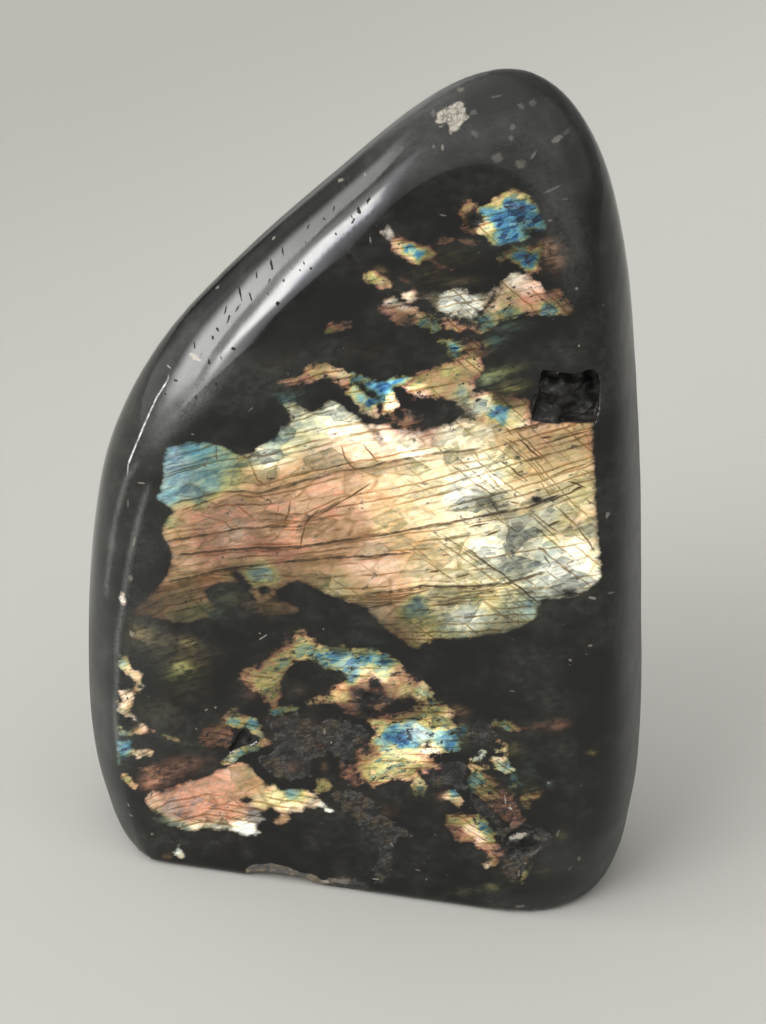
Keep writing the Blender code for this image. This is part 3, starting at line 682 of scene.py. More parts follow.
        (8.5, 28.6, 0.48, 0.31, 0), (10, 27.6, 0.46, 0.41, 0), (7.6, 26.8, 0.56, 0.41, 0),
        (12, 28.2, 0.5, 0.61, 0), (13, 27.6, 0.57, 0.88, 0.1), (11.5, 26.5, 0.54, 0.74, 0),
        (13.9, 27, 0.55, 0.84, 0.2), (5, 25, 0.57, 0.76, 0.1), (6.5, 23.7, 0.23, 0.74, 0.05),
        (8, 23, 0.18, 0.81, 0.05), (8.4, 24.7, 0.29, 0.83, 0.25), (10, 24.4, 0.3, 0.95, 0.55),
        (9.6, 23, 0.25, 0.9, 0.2), (12.6, 24, 0.26, 0.95, 0.25), (14.2, 23.8, 0.22, 0.64, 0.1),
        (15.6, 25, 0.24, 0.35, 0), (11.5, 22.5, 0.48, 1.04, 0.6), (6, 22.2, 0.36, 0.83, 0.2),
        (7.6, 21.4, 0.55, 0.99, 0.35), (9.5, 21.1, 0.58, 1.02, 0.2), (11.4, 20.6, 0.68, 0.96, 0.1),
        (12.5, 20.1, 0.76, 0.71, 0), (4, 20.7, 0.62, 0.56, 0), (5, 19.1, 0.48, 0.86, 0.1),
        (3.3, 19, 0.68, 0.76, 0), (6.3, 18.6, 0.53, 0.94, 0.2), (8.5, 19.4, 0.57, 0.99, 0.15),
        (10, 19.5, 0.64, 0.84, 0), (7, 20.2, 0.54, 0.94, 0.3), (4.6, 17.4, 0.52, 0.83, 0.1),
        (8.5, 17.9, 0.62, 0.86, 0.2), (10.5, 17.2, 0.4, 0.72, 0.2), (10.4, 16, 0.36, 0.47, 0),
        (3.8, 16.6, 0.58, 0.72, 0))),
    ("pink_brown_corner", 0.05, 0.4, 0.8, (
        (0, 18), (0.8, 18.7), (1.9, 18.7), (2.5, 17.4), (3.3, 16.5), (2.4, 15.4), (1.3, 15.9),
        (0.4, 16.9)), (
        (1.2, 17.6, 0.86, 0.55, 0), (2.2, 16.4, 0.88, 0.51, 0))),
    ("small_bright_flash", 0.16, 0.3, 0.5, (
        (13.2, 16.1), (14, 17), (15.1, 17.1), (15.9, 16.3), (16.1, 15.4), (15.3, 14.8), (14.4, 15.3)), (
        (14.9, 16.5, 0.22, 0.74, 0.1), (13.9, 16.2, 0.56, 0.94, 0.4), (15.3, 15.6, 0.58, 0.86, 0.2))),
    ("gold_teal_lens", 0.14, 0.4, 0.8, (
        (13.9, 12.7), (14.9, 13.6), (16.5, 13.9), (18, 13.9), (19.3, 13.5), (20, 12.3), (20.5, 11.1),
        (20.9, 10.1), (21.9, 9.2), (22.1, 8.5), (21.1, 7.7), (20.5, 6.8), (19.4, 6.4), (19, 7), (19.5, 8.3),
        (18.2, 9.3), (16.8, 9.8), (15.3, 10), (14.3, 11.2)), (
        (15, 12.9, 0.52, 0.53, 0), (16.5, 13.1, 0.57, 0.66, 0), (18.9, 12.4, 0.35, 0.63, 0.1),
        (19.8, 11.2, 0.46, 0.56, 0), (17.3, 11.6, 0.68, 0.92, 0.4), (18.6, 10.6, 0.7, 0.9, 0.4),
        (15.4, 11.3, 0.76, 0.49, 0), (17, 10.4, 0.74, 0.67, 0), (19.4, 9.2, 0.76, 0.69, 0),
        (21, 8.7, 0.84, 0.61, 0.05), (20.1, 7.5, 0.52, 0.48, 0), (19.5, 6.8, 0.5, 0.76, 0.5))),
    ("right_teal_lens", 0.2, 0.4, 0.7, (
        (19, 27.3), (20.2, 27.9), (21.6, 27.8), (23, 27.4), (24.3, 27.3), (23.4, 26.7), (22, 26.3),
        (20.9, 26.2), (20, 26.7)), (
        (21, 27, 0.36, 0.54, 0), (22.6, 27.1, 0.6, 0.52, 0), (23.8, 27.2, 0.7, 0.46, 0))),
    ("white_cyan_bits", 0.06, 0.7, 0.6, (
        (16.8, 21.3), (17.3, 22.6), (18, 23.3), (18.7, 22.9), (18.2, 21.9), (17.6, 21.3), (19, 21.7),
        (19.4, 22.4), (19.5, 23.6), (20, 24.9), (21.1, 24.5), (21.5, 23.4), (21.1, 22.6), (21.9, 22),
        (22.1, 21), (21.3, 20.2), (20.3, 20.4), (19.8, 21.1), (18.8, 20.9), (17.8, 20.3), (17, 20.1),
        (16.4, 20.8)), (
        (17.8, 22.5, 0.35, 0.94, 0.6), (20.3, 22.8, 0.6, 0.94, 0.5), (20.5, 24.3, 0.64, 0.66, 0.1),
        (21, 21.2, 0.38, 0.8, 0.3), (19, 21.3, 0.62, 0.66, 0.1), (17.2, 20.8, 0.57, 0.8, 0.2),
        (20.7, 23.6, 0.56, 0.7, 0.1))),
    ("teal_oval", 0.12, 0.4, 0.7, (
        (16.3, 18.5), (16.8, 19.6), (18, 20), (19.3, 19.9), (20.4, 19.2), (21.1, 18.2), (21, 17),
        (20.3, 16.2), (19.3, 15.9), (18.2, 16.5), (17, 17.3)), (
        (17.8, 19, 0.35, 0.66, 0.1), (19.4, 19.1, 0.6, 0.46, 0), (18.6, 17.8, 0.57, 0.52, 0),
        (19.8, 17, 0.6, 0.52, 0), (16.6, 18.2, 0.33, 0.5, 0.1), (20.6, 17.8, 0.74, 0.36, 0))),
    ("gray_blue_bits", 0.05, 0.8, 0.8, (
        (21.5, 20.2), (22.6, 20.6), (23.3, 19.5), (23.3, 18.2), (22.4, 17.9), (21.7, 19)), (
        (22.4, 19.4, 0.31, 0.39, 0.05),)),
    ("brown_rubble", 0, 0.7, 0.8, (
        (20.2, 17.2), (21.2, 18.2), (22.3, 17.5), (22.8, 16.2), (23.5, 15), (23.8, 13.8), (23.3, 12.5),
        (22.3, 12.7), (21.5, 13.6), (20.3, 14.6), (19.5, 15.6)), (
        (20.9, 16.2, 0.9, 0.51, 0), (22.5, 14.2, 0.89, 0.55, 0))),
    ("olive_streak", 0.05, 0.5, 0.8, (
        (23.2, 17.4), (24.7, 17.8), (25.9, 18.7), (25.4, 17.4), (24.4, 16.8), (24.6, 15.6), (23.8, 15.8)), (
        (24.6, 17.4, 0.6, 0.46, 0), (24.3, 16.1, 0.56, 0.34, 0))),
    ("foot_green_streak", 0.05, 0.5, 0.7, (
        (23.6, 5.1), (24.3, 6.7), (24.9, 8.2), (25.5, 8.3), (26.3, 7), (25.6, 6.2), (24.8, 5.3)), (
        (24.6, 6.2, 0.52, 0.6, 0.2), (25.6, 7.3, 0.54, 0.44, 0))),
    ("salmon_flash", 0.03, 0.1, 1.2, (
        (-24.4, 11), (-23.6, 11.3), (-22.5, 11.5), (-21.2, 12.2), (-20, 13.2), (-18.3, 13.8), (-17, 14.4),
        (-15.5, 15.5), (-14, 16.4), (-12.6, 17), (-11.3, 16.9), (-11, 15.8), (-9.9, 15), (-9.2, 14.2),
        (-8, 14.3), (-7.3, 13.6), (-6.3, 14.1), (-5, 14.3), (-3.6, 14.3), (-2.7, 13.6), (-1.6, 12.8),
        (-0.5, 12), (-0.5, 11.4), (-1.2, 11.4), (-2.3, 11.9), (-3.8, 11.6), (-5, 10.9), (-6.2, 10.4),
        (-6.2, 9.3), (-7.2, 8.5), (-8.1, 8.8), (-8.6, 9.5), (-7.7, 9.4), (-7.7, 10.1), (-8.5, 10.8),
        (-9.5, 10.2), (-10.1, 10.2), (-9.6, 9.5), (-9.6, 8.8), (-10.3, 8), (-9.9, 7.2), (-10.3, 6.7),
        (-12, 6.2), (-13.2, 6.5), (-15, 6.6), (-17.5, 6.3), (-19.5, 5.7), (-21, 5.8), (-23, 6.4),
        (-24.7, 7), (-23.4, 7.6), (-24.8, 8.4), (-25.3, 9.5), (-24.9, 10.2)), (
        (-20, 10.5, 0.86, 0.87, 0.1), (-18, 11.6, 0.86, 0.91, 0.1), (-16, 14, 0.85, 0.89, 0.1),
        (-14.5, 12.4, 0.85, 1, 0.05), (-13, 9.6, 0.84, 0.95, 0.1), (-17, 9.2, 0.86, 0.95, 0.05),
        (-22, 8.8, 0.9, 0.74, 0.45), (-23.9, 9.4, 0.74, 0.84, 0.25), (-20.5, 8.4, 0.87, 0.68, 0.15),
        (-22.6, 10.6, 0.86, 0.74, 0.1), (-18.2, 7.9, 0.86, 0.78, 0.1), (-15, 8.3, 0.85, 0.91, 0.1),
        (-13, 15.8, 0.78, 0.87, 0.2), (-11.6, 16.2, 0.68, 0.82, 0.2), (-11.5, 13.6, 0.76, 0.83, 0.1),
        (-10, 12.9, 0.68, 0.81, 0.1), (-8.8, 12.2, 0.6, 1, 0.3), (-7.5, 12.6, 0.6, 0.97, 0.25),
        (-6, 13.5, 0.26, 0.72, 0.05), (-5, 13.8, 0.4, 0.81, 0.1), (-4, 13.3, 0.6, 0.96, 0.2),
        (-5.5, 11.8, 0.62, 0.98, 0.4), (-3, 12.7, 0.72, 0.95, 0.5), (-1.2, 11.8, 0.5, 1.03, 1),
        (-10.5, 9.3, 0.95, 0.62, 0.6), (-12, 7.3, 0.4, 0.95, 0.9), (-15, 7, 0.5, 0.87, 0.8),
        (-18, 6.5, 0.5, 0.82, 0.6), (-21, 6.2, 0.4, 0.54, 0.5), (-23.5, 6.9, 0.4, 0.35, 0.3),
        (-7.2, 9.1, 0.72, 0.76, 0.2), (-9.6, 11.4, 0.62, 0.92, 0.2))),
    ("left_upper_chain", 0.06, 0.35, 0.7, (
        (-28.8, 28.3), (-28.7, 29.6), (-28.1, 30.1), (-27.4, 30.2), (-27.2, 29.3), (-26.6, 28.4),
        (-25.5, 27.6), (-25.7, 26.6), (-25.2, 25.4), (-26.1, 24.8), (-26.6, 24), (-26.9, 23), (-26.8, 22.2),
        (-26.5, 21.3), (-26.9, 20.7), (-27.5, 21), (-28.1, 21.3), (-28.8, 21.8), (-28.8, 22.7),
        (-28.3, 23.8), (-28.7, 24.8), (-27.8, 25.2), (-26.9, 25.5), (-26.6, 26.4), (-27.4, 27.1),
        (-28.1, 27.8)), (
        (-28.2, 29, 0.34, 0.86, 0.45), (-27.6, 29.7, 0.46, 0.6, 0.1), (-27.3, 28.2, 0.56, 0.92, 0.3),
        (-26.2, 27.3, 0.66, 0.92, 0.35), (-26.3, 25.8, 0.68, 0.76, 0.1), (-27.8, 24.6, 0.62, 0.96, 0.45),
        (-28, 23, 0.62, 0.92, 0.4), (-28.2, 21.9, 0.68, 0.88, 0.4), (-26.9, 21.2, 0.7, 0.8, 0.7),
        (-25.6, 25.7, 0.32, 0.8, 0.5), (-27, 22.6, 0.62, 0.66, 0.1))),
    ("left_middle_flash", 0.1, 0.3, 0.7, (
        (-29, 18.5), (-28.6, 19.6), (-27.5, 19.2), (-26.8, 19.9), (-26, 20.6), (-25.3, 20.7), (-24.4, 20.1),
        (-23.7, 19.5), (-25, 19.4), (-26.2, 18.7), (-27.5, 18.4), (-28.2, 18.2)), (
        (-28, 18.9, 0.42, 0.8, 0.35), (-26.6, 19.4, 0.58, 0.84, 0.2), (-25.3, 20.2, 0.66, 0.92, 0.4),
        (-24.4, 19.8, 0.7, 0.7, 0.1))),
    ("left_blue_flash", 0.1, 0.3, 0.7, (
        (-29.2, 16.6), (-28.8, 17.8), (-28, 18.2), (-27, 17.9), (-26.8, 17), (-25.8, 16.7), (-25, 17.1),
        (-24.2, 16.7), (-24.2, 16.2), (-25.4, 16.2), (-26.2, 15.4), (-27, 15.9), (-27.8, 15.2),
        (-28.6, 14.1), (-29.1, 14), (-29.3, 15.2)), (
        (-28, 16.6, 0.2, 0.74, 0.15), (-27.2, 17.4, 0.19, 0.6, 0), (-26.3, 15.9, 0.58, 0.84, 0.4),
        (-25, 16.7, 0.62, 0.84, 0.35), (-28.8, 14.7, 0.32, 0.48, 0))),
    ("left_green_flash", 0.1, 0.5, 0.7, (
        (-28.8, 12.1), (-28.2, 12.8), (-27.2, 12.5), (-26.3, 11.9), (-26.1, 11.2), (-26.8, 10.6),
        (-27.5, 11.3)), (
        (-28, 12.2, 0.55, 0.69, 0), (-26.8, 11.5, 0.57, 0.76, 0.1))),
    ("left_pink_bits", 0.05, 0.6, 0.8, (
        (-26.2, 14), (-25, 14.6), (-24.2, 15.4), (-23.1, 15.1), (-23.2, 14), (-22.3, 13), (-23, 12.4),
        (-24.2, 13), (-25, 13.4)), (
        (-25.2, 14, 0.72, 0.63, 0.1), (-23.6, 14.6, 0.88, 0.49, 0), (-23.2, 12.9, 0.84, 0.52, 0))),
    ("thin_green_line", 0, 0.3, 0.8, (
        (-23, 19.3), (-22, 19.6), (-20.5, 19), (-19, 18.9), (-17.6, 18.7), (-18.5, 18.4), (-20.5, 18.4),
        (-22, 18.8)), (
        (-21.5, 19.1, 0.55, 0.6, 0), (-18.8, 18.6, 0.5, 0.55, 0.1))),
    ("pit_ring", 0.1, 0.2, 0.6, (
        (-15.9, 16.5), (-14.8, 17), (-14.2, 17.6), (-13.3, 18.7), (-12, 19.4), (-10.6, 19.9), (-10.3, 20.6),
        (-11.1, 21.2), (-12, 22.2), (-12.9, 21.7), (-13.9, 21.7), (-14.6, 22.3), (-14.4, 23.3), (-13.3, 24),
        (-12, 23.8), (-10.9, 23.6), (-10.1, 22.9), (-9.9, 21.8), (-9.1, 21.1), (-8.8, 20.2), (-9.5, 19.5),
        (-11, 18.8), (-12.4, 18.1), (-13, 17.4), (-13.7, 16.4), (-14.9, 16)), (
        (-13.4, 22.8, 0.34, 0.65, 0.1), (-11.2, 22.8, 0.3, 0.63, 0.15), (-10.2, 21.3, 0.48, 0.71, 0.3),
        (-9.4, 20.2, 0.66, 0.6, 0), (-11, 19.4, 0.38, 0.6, 0.1), (-13, 18.3, 0.37, 0.67, 0.15),
        (-14.2, 17, 0.38, 0.84, 0.4), (-15, 16.4, 0.55, 0.86, 0.2), (-12.4, 23.6, 0.6, 0.54, 0.1))),
    ("pit_brown_side", 0, 0.3, 0.9, (
        (-18.4, 19.2), (-17.2, 21.3), (-15.8, 22.2), (-14.9, 23.6), (-13.2, 24.6), (-12.8, 24.1),
        (-14.2, 23.4), (-14.5, 22.3), (-14, 21.7), (-13.6, 20.6), (-14.2, 18.8), (-16, 18.6)), (
        (-16.4, 20, 0.88, 0.45, 0), (-14.4, 21.4, 0.82, 0.45, 0), (-14, 24, 0.72, 0.49, 0.2))),
    ("green_spot", 0.1, 0.4, 0.8, (
        (-3.2, 14.8), (-2.8, 15.8), (-1.7, 16.3), (-0.8, 15.8), (-0.9, 14.9), (-1.8, 14.2), (-2.6, 14.1)), (
        (-2, 15.3, 0.5, 0.5, 0),)),
    ("teal_haze", 0.1, 0.4, 0.8, (
        (-9.3, 24.6), (-8, 25.4), (-6.5, 26), (-5, 26.2), (-5.3, 25.3), (-7, 24.5), (-8.3, 24.2)), (
        (-7, 25.2, 0.36, 0.47, 0),)),
    ("foot_sparkle", 0, 0.3, 0.5, (
        (-21.7, 2.2), (-21.3, 3.2), (-20.7, 3.5), (-20.2, 2.8), (-20, 1.9), (-20.5, 1.5), (-21.2, 1.7)), (
        (-21, 2.6, 0.4, 0.92, 0.75), (-20.5, 1.8, 0.66, 0.74, 0.5))),
    ("rim_sparkle", 0, 0.2, 0.5, (
        (-28.4, 37.1), (-28.4, 38.2), (-28, 38.8), (-27.6, 38), (-27.6, 37.2), (-28, 36.9)), (
        (-28, 37.6, 0.84, 0.9, 0.6),)),
)

# Dark inclusions inside the patches: x, z, two half widths and the turn of the first in degrees.
INCLUSIONS = (
    (14.2, 91.7, 1, 0.72, 0), (21.8, 90.4, 1.3, 0.6, -20), (6, 82.6, 1, 0.5, 0), (2, 69.5, 1.2, 0.32, -30),
    (3.9, 67.2, 0.42, 0.3, 60), (9.6, 68, 3.5, 0.85, -6), (11.6, 67.1, 1.4, 0.6, 0),
    (13.4, 77.6, 2.2, 0.42, 4), (8.4, 88.4, 0.8, 0.3, -20), (0.6, 67.1, 3.1, 0.42, -47),
    (3.7, 28.7, 0.95, 0.6, -10), (3.9, 26.4, 0.6, 0.4, 0), (8.2, 28.1, 1.6, 0.6, 20),
    (4.4, 30.6, 0.45, 0.3, 0), (13, 21.3, 1.2, 0.55, 0), (11.3, 22.8, 0.34, 0.2, 0),
    (3.7, 21.4, 0.45, 0.3, 0), (9.4, 17.5, 0.6, 0.22, 20), (20.6, 23, 0.3, 0.22, 0),
    (20.2, 24, 0.25, 0.2, 0), (18.4, 21.6, 0.7, 0.25, 0), (-12.4, 42, 0.7, 0.3, -30),
    (-9.9, 41.6, 0.55, 0.4, 0), (-8, 40.8, 1.1, 0.35, 0), (-13.4, 43, 0.7, 0.3, -35),
    (27.7, 46.1, 0.6, 0.3, 0), (23.2, 57.8, 0.5, 0.3, 0), (-12, 11.5, 0.5, 0.25, 0), (-8, 9.6, 0.5, 0.4, 0),
    (6.3, 66.3, 0.5, 0.4, 0), (8.4, 66.9, 0.5, 0.35, 0), (5.2, 65.8, 0.5, 0.4, 0),
    (-27.3, 20.9, 0.55, 0.35, 0), (18, 88.8, 1.1, 0.2, 22), (20.5, 85.9, 1, 0.15, -15),
)

# Faint flashes deeper in the stone, as soft clouds: x, z, half width, half height, turn, layer colour and
# strength.
CLOUDS = (
    (-22.5, 13.6, 4, 1.8, 20, 0.9, 0.34), (-24.5, 12.2, 2, 1.2, 30, 0.86, 0.3),
    (-19, 16, 4, 1.2, 10, 0.88, 0.2), (-23.5, 32.5, 3.5, 2.6, 0, 0.6, 0.17),
    (-21, 28.5, 2.6, 1.4, 20, 0.5, 0.2), (-18, 31, 3, 2.6, 0, 0.62, 0.13),
    (-26, 33.5, 1.6, 1.4, 0, 0.58, 0.2), (-19.5, 33, 1.2, 0.8, 0, 0.58, 0.24),
    (-20.5, 29.5, 1.2, 0.8, 0, 0.48, 0.24), (-24, 22.5, 3.5, 2.2, 0, 0.58, 0.12),
    (-19, 26, 4, 2, 0, 0.56, 0.08), (-6.8, 17, 2.6, 1.3, 0, 0.88, 0.28),
    (-3.8, 20.4, 1.9, 1.1, 15, 0.88, 0.3), (-1.9, 17.9, 0.7, 1, 0, 0.8, 0.22),
    (-2, 22.4, 1.2, 0.9, 0, 0.92, 0.26), (-7.5, 23, 3, 1.6, 0, 0.93, 0.18),
    (-11.8, 26.8, 1.6, 1, 0, 0.95, 0.24), (-4, 24, 3.4, 1.4, 0, 0.9, 0.14),
    (-5.4, 28.2, 1.6, 1, 0, 0.6, 0.12), (18, 73.2, 3.4, 1, 24, 0.5, 0.26),
    (19.6, 71.6, 2.4, 0.8, 24, 0.54, 0.3), (16.6, 72.4, 1.6, 1, 24, 0.4, 0.22),
    (17.4, 77.2, 1.8, 0.9, 20, 0.36, 0.22), (19, 79.2, 2.6, 0.7, 12, 0.4, 0.2),
    (15.4, 75.8, 1.2, 1, 0, 0.84, 0.3), (24, 88, 1.5, 2.3, 0, 0.84, 0.26), (22.8, 89, 1, 1.2, 0, 0.8, 0.3),
    (12, 87.2, 4, 1.3, 0, 0.6, 0.12), (9, 84.6, 3, 1, 20, 0.62, 0.12),
    (3.6, 84.2, 1.2, 0.8, -30, 0.64, 0.24), (12.8, 84, 3.4, 0.7, 10, 0.62, 0.16),
    (-8.5, 71.5, 3.5, 1.6, 15, 0.6, 0.09), (2, 74.5, 5, 2, 0, 0.58, 0.07), (-6, 68, 4, 0.8, 15, 0.4, 0.14),
    (-7.2, 66.8, 1.6, 0.8, -20, 0.32, 0.24), (-15, 40, 2.4, 1.6, 0, 0.45, 0.14),
    (-16.6, 37.6, 1.8, 1, 0, 0.38, 0.22), (-10.5, 39, 2.2, 1.2, -20, 0.7, 0.2),
    (21, 43, 3, 2, 20, 0.48, 0.18), (15, 38.9, 2.4, 0.8, 15, 0.4, 0.2), (4, 36.4, 3.5, 0.7, 0, 0.36, 0.12),
    (15, 28.3, 1.4, 0.9, 0, 0.74, 0.26), (15.8, 24.6, 0.9, 1.8, 0, 0.5, 0.16),
    (27.4, 28.2, 1.8, 0.9, 20, 0.87, 0.3), (24.8, 27.6, 1, 0.5, 20, 0.84, 0.22),
    (24, 31.4, 1.6, 0.6, 30, 0.28, 0.08), (13.4, 16, 1, 0.8, 0, 0.8, 0.34),
    (6.6, 12.8, 1.2, 1, 0, 0.88, 0.22), (24.6, 18.4, 1.6, 1.2, 0, 0.55, 0.16),
    (24.2, 21.4, 1.2, 2, 0, 0.4, 0.14), (22, 24, 1.4, 1.4, 0, 0.55, 0.16),
    (31.8, 24.8, 0.7, 0.4, 0, 0.58, 0.28), (26.8, 19.8, 0.5, 0.5, 0, 0.36, 0.26),
    (28.8, 12.8, 1, 1.4, -30, 0.56, 0.14), (27, 7, 1.6, 1.2, 0, 0.55, 0.12),
    (17, 2.6, 3.6, 0.7, 16, 0.5, 0.13), (20.4, 3.9, 1.2, 0.5, -15, 0.52, 0.24),
    (22.8, 5.2, 1.4, 0.3, -6, 0.54, 0.2), (-22.4, 1.6, 0.7, 0.4, 0, 0.74, 0.34),
    (-12.5, 14, 2, 1, 0, 0.9, 0.2), (-9, 30, 2.4, 1.4, 45, 0.5, 0.16), (0.6, 5, 2, 0.8, 25, 0.54, 0.06),
)
# The same for the back of the stone, where some dim flashes show.
BACK_CLOUDS = (
    (-14, 52, 9, 1.6, 20, 0.28, 0.21), (6, 61, 11, 1.5, 18, 0.4, 0.19), (12, 34, 8, 1.2, 15, 0.62, 0.19),
    (-8, 26, 9, 1.1, 12, 0.33, 0.18), (9, 82, 6, 1, 25, 0.25, 0.21), (-20, 32, 4, 1, 20, 0.58, 0.18),
    (20, 50, 5, 1, 15, 0.3, 0.2), (2, 45, 6, 0.8, 20, 0.84, 0.2), (16, 70, 4, 0.8, 22, 0.6, 0.18),
)
BACK = 4.0  # points with a larger y belong to the back of the stone
CLOUD_GAIN = 1.25

# Cleavage cracks. One set rises to the right, and another falls to the right across the middle of the broad
# flash. Each crack is its strength, the reach along which it shows, and points that it runs through.
RISING_CRACKS = (
    (0.55, -26, -16, (-26, 36.4), (-22, 39.2), (-17, 41.2), (0, 40.6), (12, 42.2), (31, 45.6)),
    (0.6, 8, 15.5, (-26, 38), (0, 41.6), (8, 42.9), (12, 42.9), (15, 43.9), (31, 47.6)),
    (0.95, 3, 25, (-26, 39), (-10, 40.4), (0, 42.2), (3, 42.5), (10, 44.6), (16, 45.4), (20, 46.3),
     (25, 48.6), (31, 50.4)),
    (0.85, -22.5, 8, (-26, 40), (-22, 41), (-14, 44), (-8, 45.6), (0, 47.3), (8, 48.8), (16, 49.8), (31, 54)),
    (0.9, -21, 26, (-26, 44), (-21, 44.9), (-12, 47), (-5.5, 47.9), (2, 50.2), (9, 52.2), (14, 54),
     (22, 56.6), (28, 60), (31, 61.4)),
    (0.8, -22, -4.8, (-26, 45.6), (-22, 46.7), (-13, 49.5), (-5, 50.9), (2, 51.4), (10, 55), (15, 57),
     (18, 58.3), (24, 61), (31, 64.4)),
    (0.7, -5, -0.6, (-26, 47.6), (-13, 50.9), (-5, 51.6), (-1, 54.3), (10, 58), (16, 60.6), (22, 63.4),
     (31, 67)),
    (0.75, -21.5, 16.5, (-26, 50), (-21.5, 51.6), (-15, 54.2), (-10.5, 54.6), (-4, 57.2), (0, 58.7),
     (4.5, 60.2), (10, 62), (16, 63.5), (31, 70)),
    (0.55, -22.5, -14, (-26, 54.8), (-22.5, 56), (-16, 58.8), (-10, 60.4), (-4, 63), (1, 64.5), (8, 66.4),
     (16, 68.8), (31, 74)),
)
FALLING_CRACKS = (
    (0.5, 3, 10, (3, 40.6), (10, 36.4)),
    (0.75, 15, 22, (12, 49.4), (17, 46.2), (22, 42.2)),
    (0.85, 12, 24.5, (10, 53), (16, 49.6), (20, 47.2), (25, 43.8)),
    (0.5, 13, 19, (11, 56.4), (16, 53), (21, 50)),
    (0.75, 13, 19, (12, 63), (16, 60.2), (20, 57.4)),
    (0.55, 16, 22, (14, 65.2), (18, 62), (24, 58.4)),
    (0.6, 20, 31, (18, 66.2), (22, 63), (26, 58.6), (31, 53)),
    (0.5, 20, 31, (20, 68.4), (25, 64.6), (31, 60)),
)
OUTER_GAP = 3.0  # between the cracks below and above those lists
LEAST_GAP = 0.5  # between two cracks of a list
CRACK_FADE = 1.5  # over which a crack begins or ends

EDGE_REACH = 3.0
NO_FLASH = 0.6  # the layer colour where there is no flash
FLASH_GAIN, LIGHT_POWER = 0.86, 2.2  # strengths are given as the eye sees them


def crack_run(points, cracks, gap):
    """How far each point lies up a stack of cracks, and the strength and the gap of the cracks there.

    The first result is a whole number on a crack.
    """
    x, z = points[:, 0], points[:, 1]
    heights = []
    for crack in cracks:
        line = crack[3:]
        height = np.interp(x, [p[0] for p in line], [p[1] for p in line])
        for end, beside, past in ((line[0], line[1], x < line[0][0]), (line[-1], line[-2], x > line[-1][0])):
            slope = (beside[1] - end[1]) / (beside[0] - end[0])
            height += np.where(past, (x - end[0]) * slope, 0)
        heights.append(height if not heights else np.maximum(height, heights[-1] + LEAST_GAP))
    shown = [amount * np.clip((x - begin) / CRACK_FADE + 0.5, 0, 1)
             * np.clip((end - x) / CRACK_FADE + 0.5, 0, 1) for amount, begin, end, *line in cracks]
    run = (z - heights[0]) / gap
    strength = np.where(run > -0.5, shown[0], 0)
    width = np.full(len(x), gap)
    last = len(cracks) - 1
    for i in range(last):
        between = heights[i + 1] - heights[i]
        t = (z - heights[i]) / between
        here = (t >= 0) & (t < 1)
        run = np.where(here, i + t, run)
        strength = np.where(here, shown[i] * (t < 0.5) + shown[i + 1] * (t >= 0.5), strength)
        width = np.where(here, between, width)
    above = z >= heights[last]
    run = np.where(above, last + (z - heights[last]) / gap, run)
    strength = np.where(above, np.where(run < last + 0.5, shown[last], 0), strength)
    return run, strength, width


def turned(x, z, turn):
    """The stone's points seen from a spot, turned so that their first axis lies along it."""
    a = math.radians(turn)
    dx, dz = spots[:, 0] - x, spots[:, 1] - z
    return dx * math.cos(a) + dz * math.sin(a), dz * math.cos(a) - dx * math.sin(a)


def soft_oval(x, z, half_width, half_height, turn):
    """1 in the middle of an oval and softly less all round."""
    along, across = turned(x, z, turn)
    return np.exp(-((along / half_width) ** 2 + (across / half_height) ** 2))


def depth_on(side, outline):
    """How deep the points of one side of the stone lie inside an outline."""
    return np.where(side, depth_inside(spots, smooth_outline(outline, 3), EDGE_REACH), -EDGE_REACH)


def keep_field(name, values):
    """Keeps one number for each of the stone's points, for its material to read."""
    even.attributes.new(name, "FLOAT", "POINT").data.foreach_set("value", values.astype(np.float32))


points = positions(even)
spots = points[:, [0, 2]]
normals = np.empty(len(points) * 3)
even.vertices.foreach_get("normal", normals)
normals = normals.reshape(-1, 3)
on_flat = (depth_inside(spots, face_outline, 3.0) > 0.3) & (points[:, 1] < FRONT)
faces_front = (normals[:, 1] < -0.3) | on_flat

edge = np.full(len(points), -EDGE_REACH)
layer = np.full(len(points), NO_FLASH)
strength, pale, rim_run, broken = np.zeros((4, len(points)))
for name, patch_rim, brokenness, reach, outline, colour_spots in PATCHES:
    inside = depth_on(points[:, 1] <= FRONT, outline)
    here = np.where(inside > edge)[0]
    colour_spots = np.array(colour_spots)
    away = gaps(spots[here], colour_spots)
    weight = np.exp(-away / (0.55 * reach) ** 2 / 2) + 1e-9 / (0.01 + away)
    weight /= weight.sum(1, keepdims=True)
    layer[here], strength[here], pale[here] = (weight @ colour_spots[:, 2:]).T
    rim_run[here], broken[here], edge[here] = patch_rim, brokenness, inside[here]
for x, z, half_width, half_height, turn in INCLUSIONS:
    along, across = turned(x, z, turn)
    away = np.sqrt((along / half_width) ** 2 + (across / half_height) ** 2)
    edge = np.where(faces_front, np.minimum(edge, (away - 1) * min(half_width, half_height)), edge)

cloud, cloud_layer = np.zeros((2, len(points)))
for clouds, side in ((CLOUDS, faces_front), (BACK_CLOUDS, points[:, 1] > BACK)):
    for *oval, colour, amount in clouds:
        here = CLOUD_GAIN * amount * soft_oval(*oval) * side
        cloud += here
        cloud_layer += here * colour
cloud_layer = np.where(cloud > 1e-6, cloud_layer / np.maximum(cloud, 1e-6), NO_FLASH)

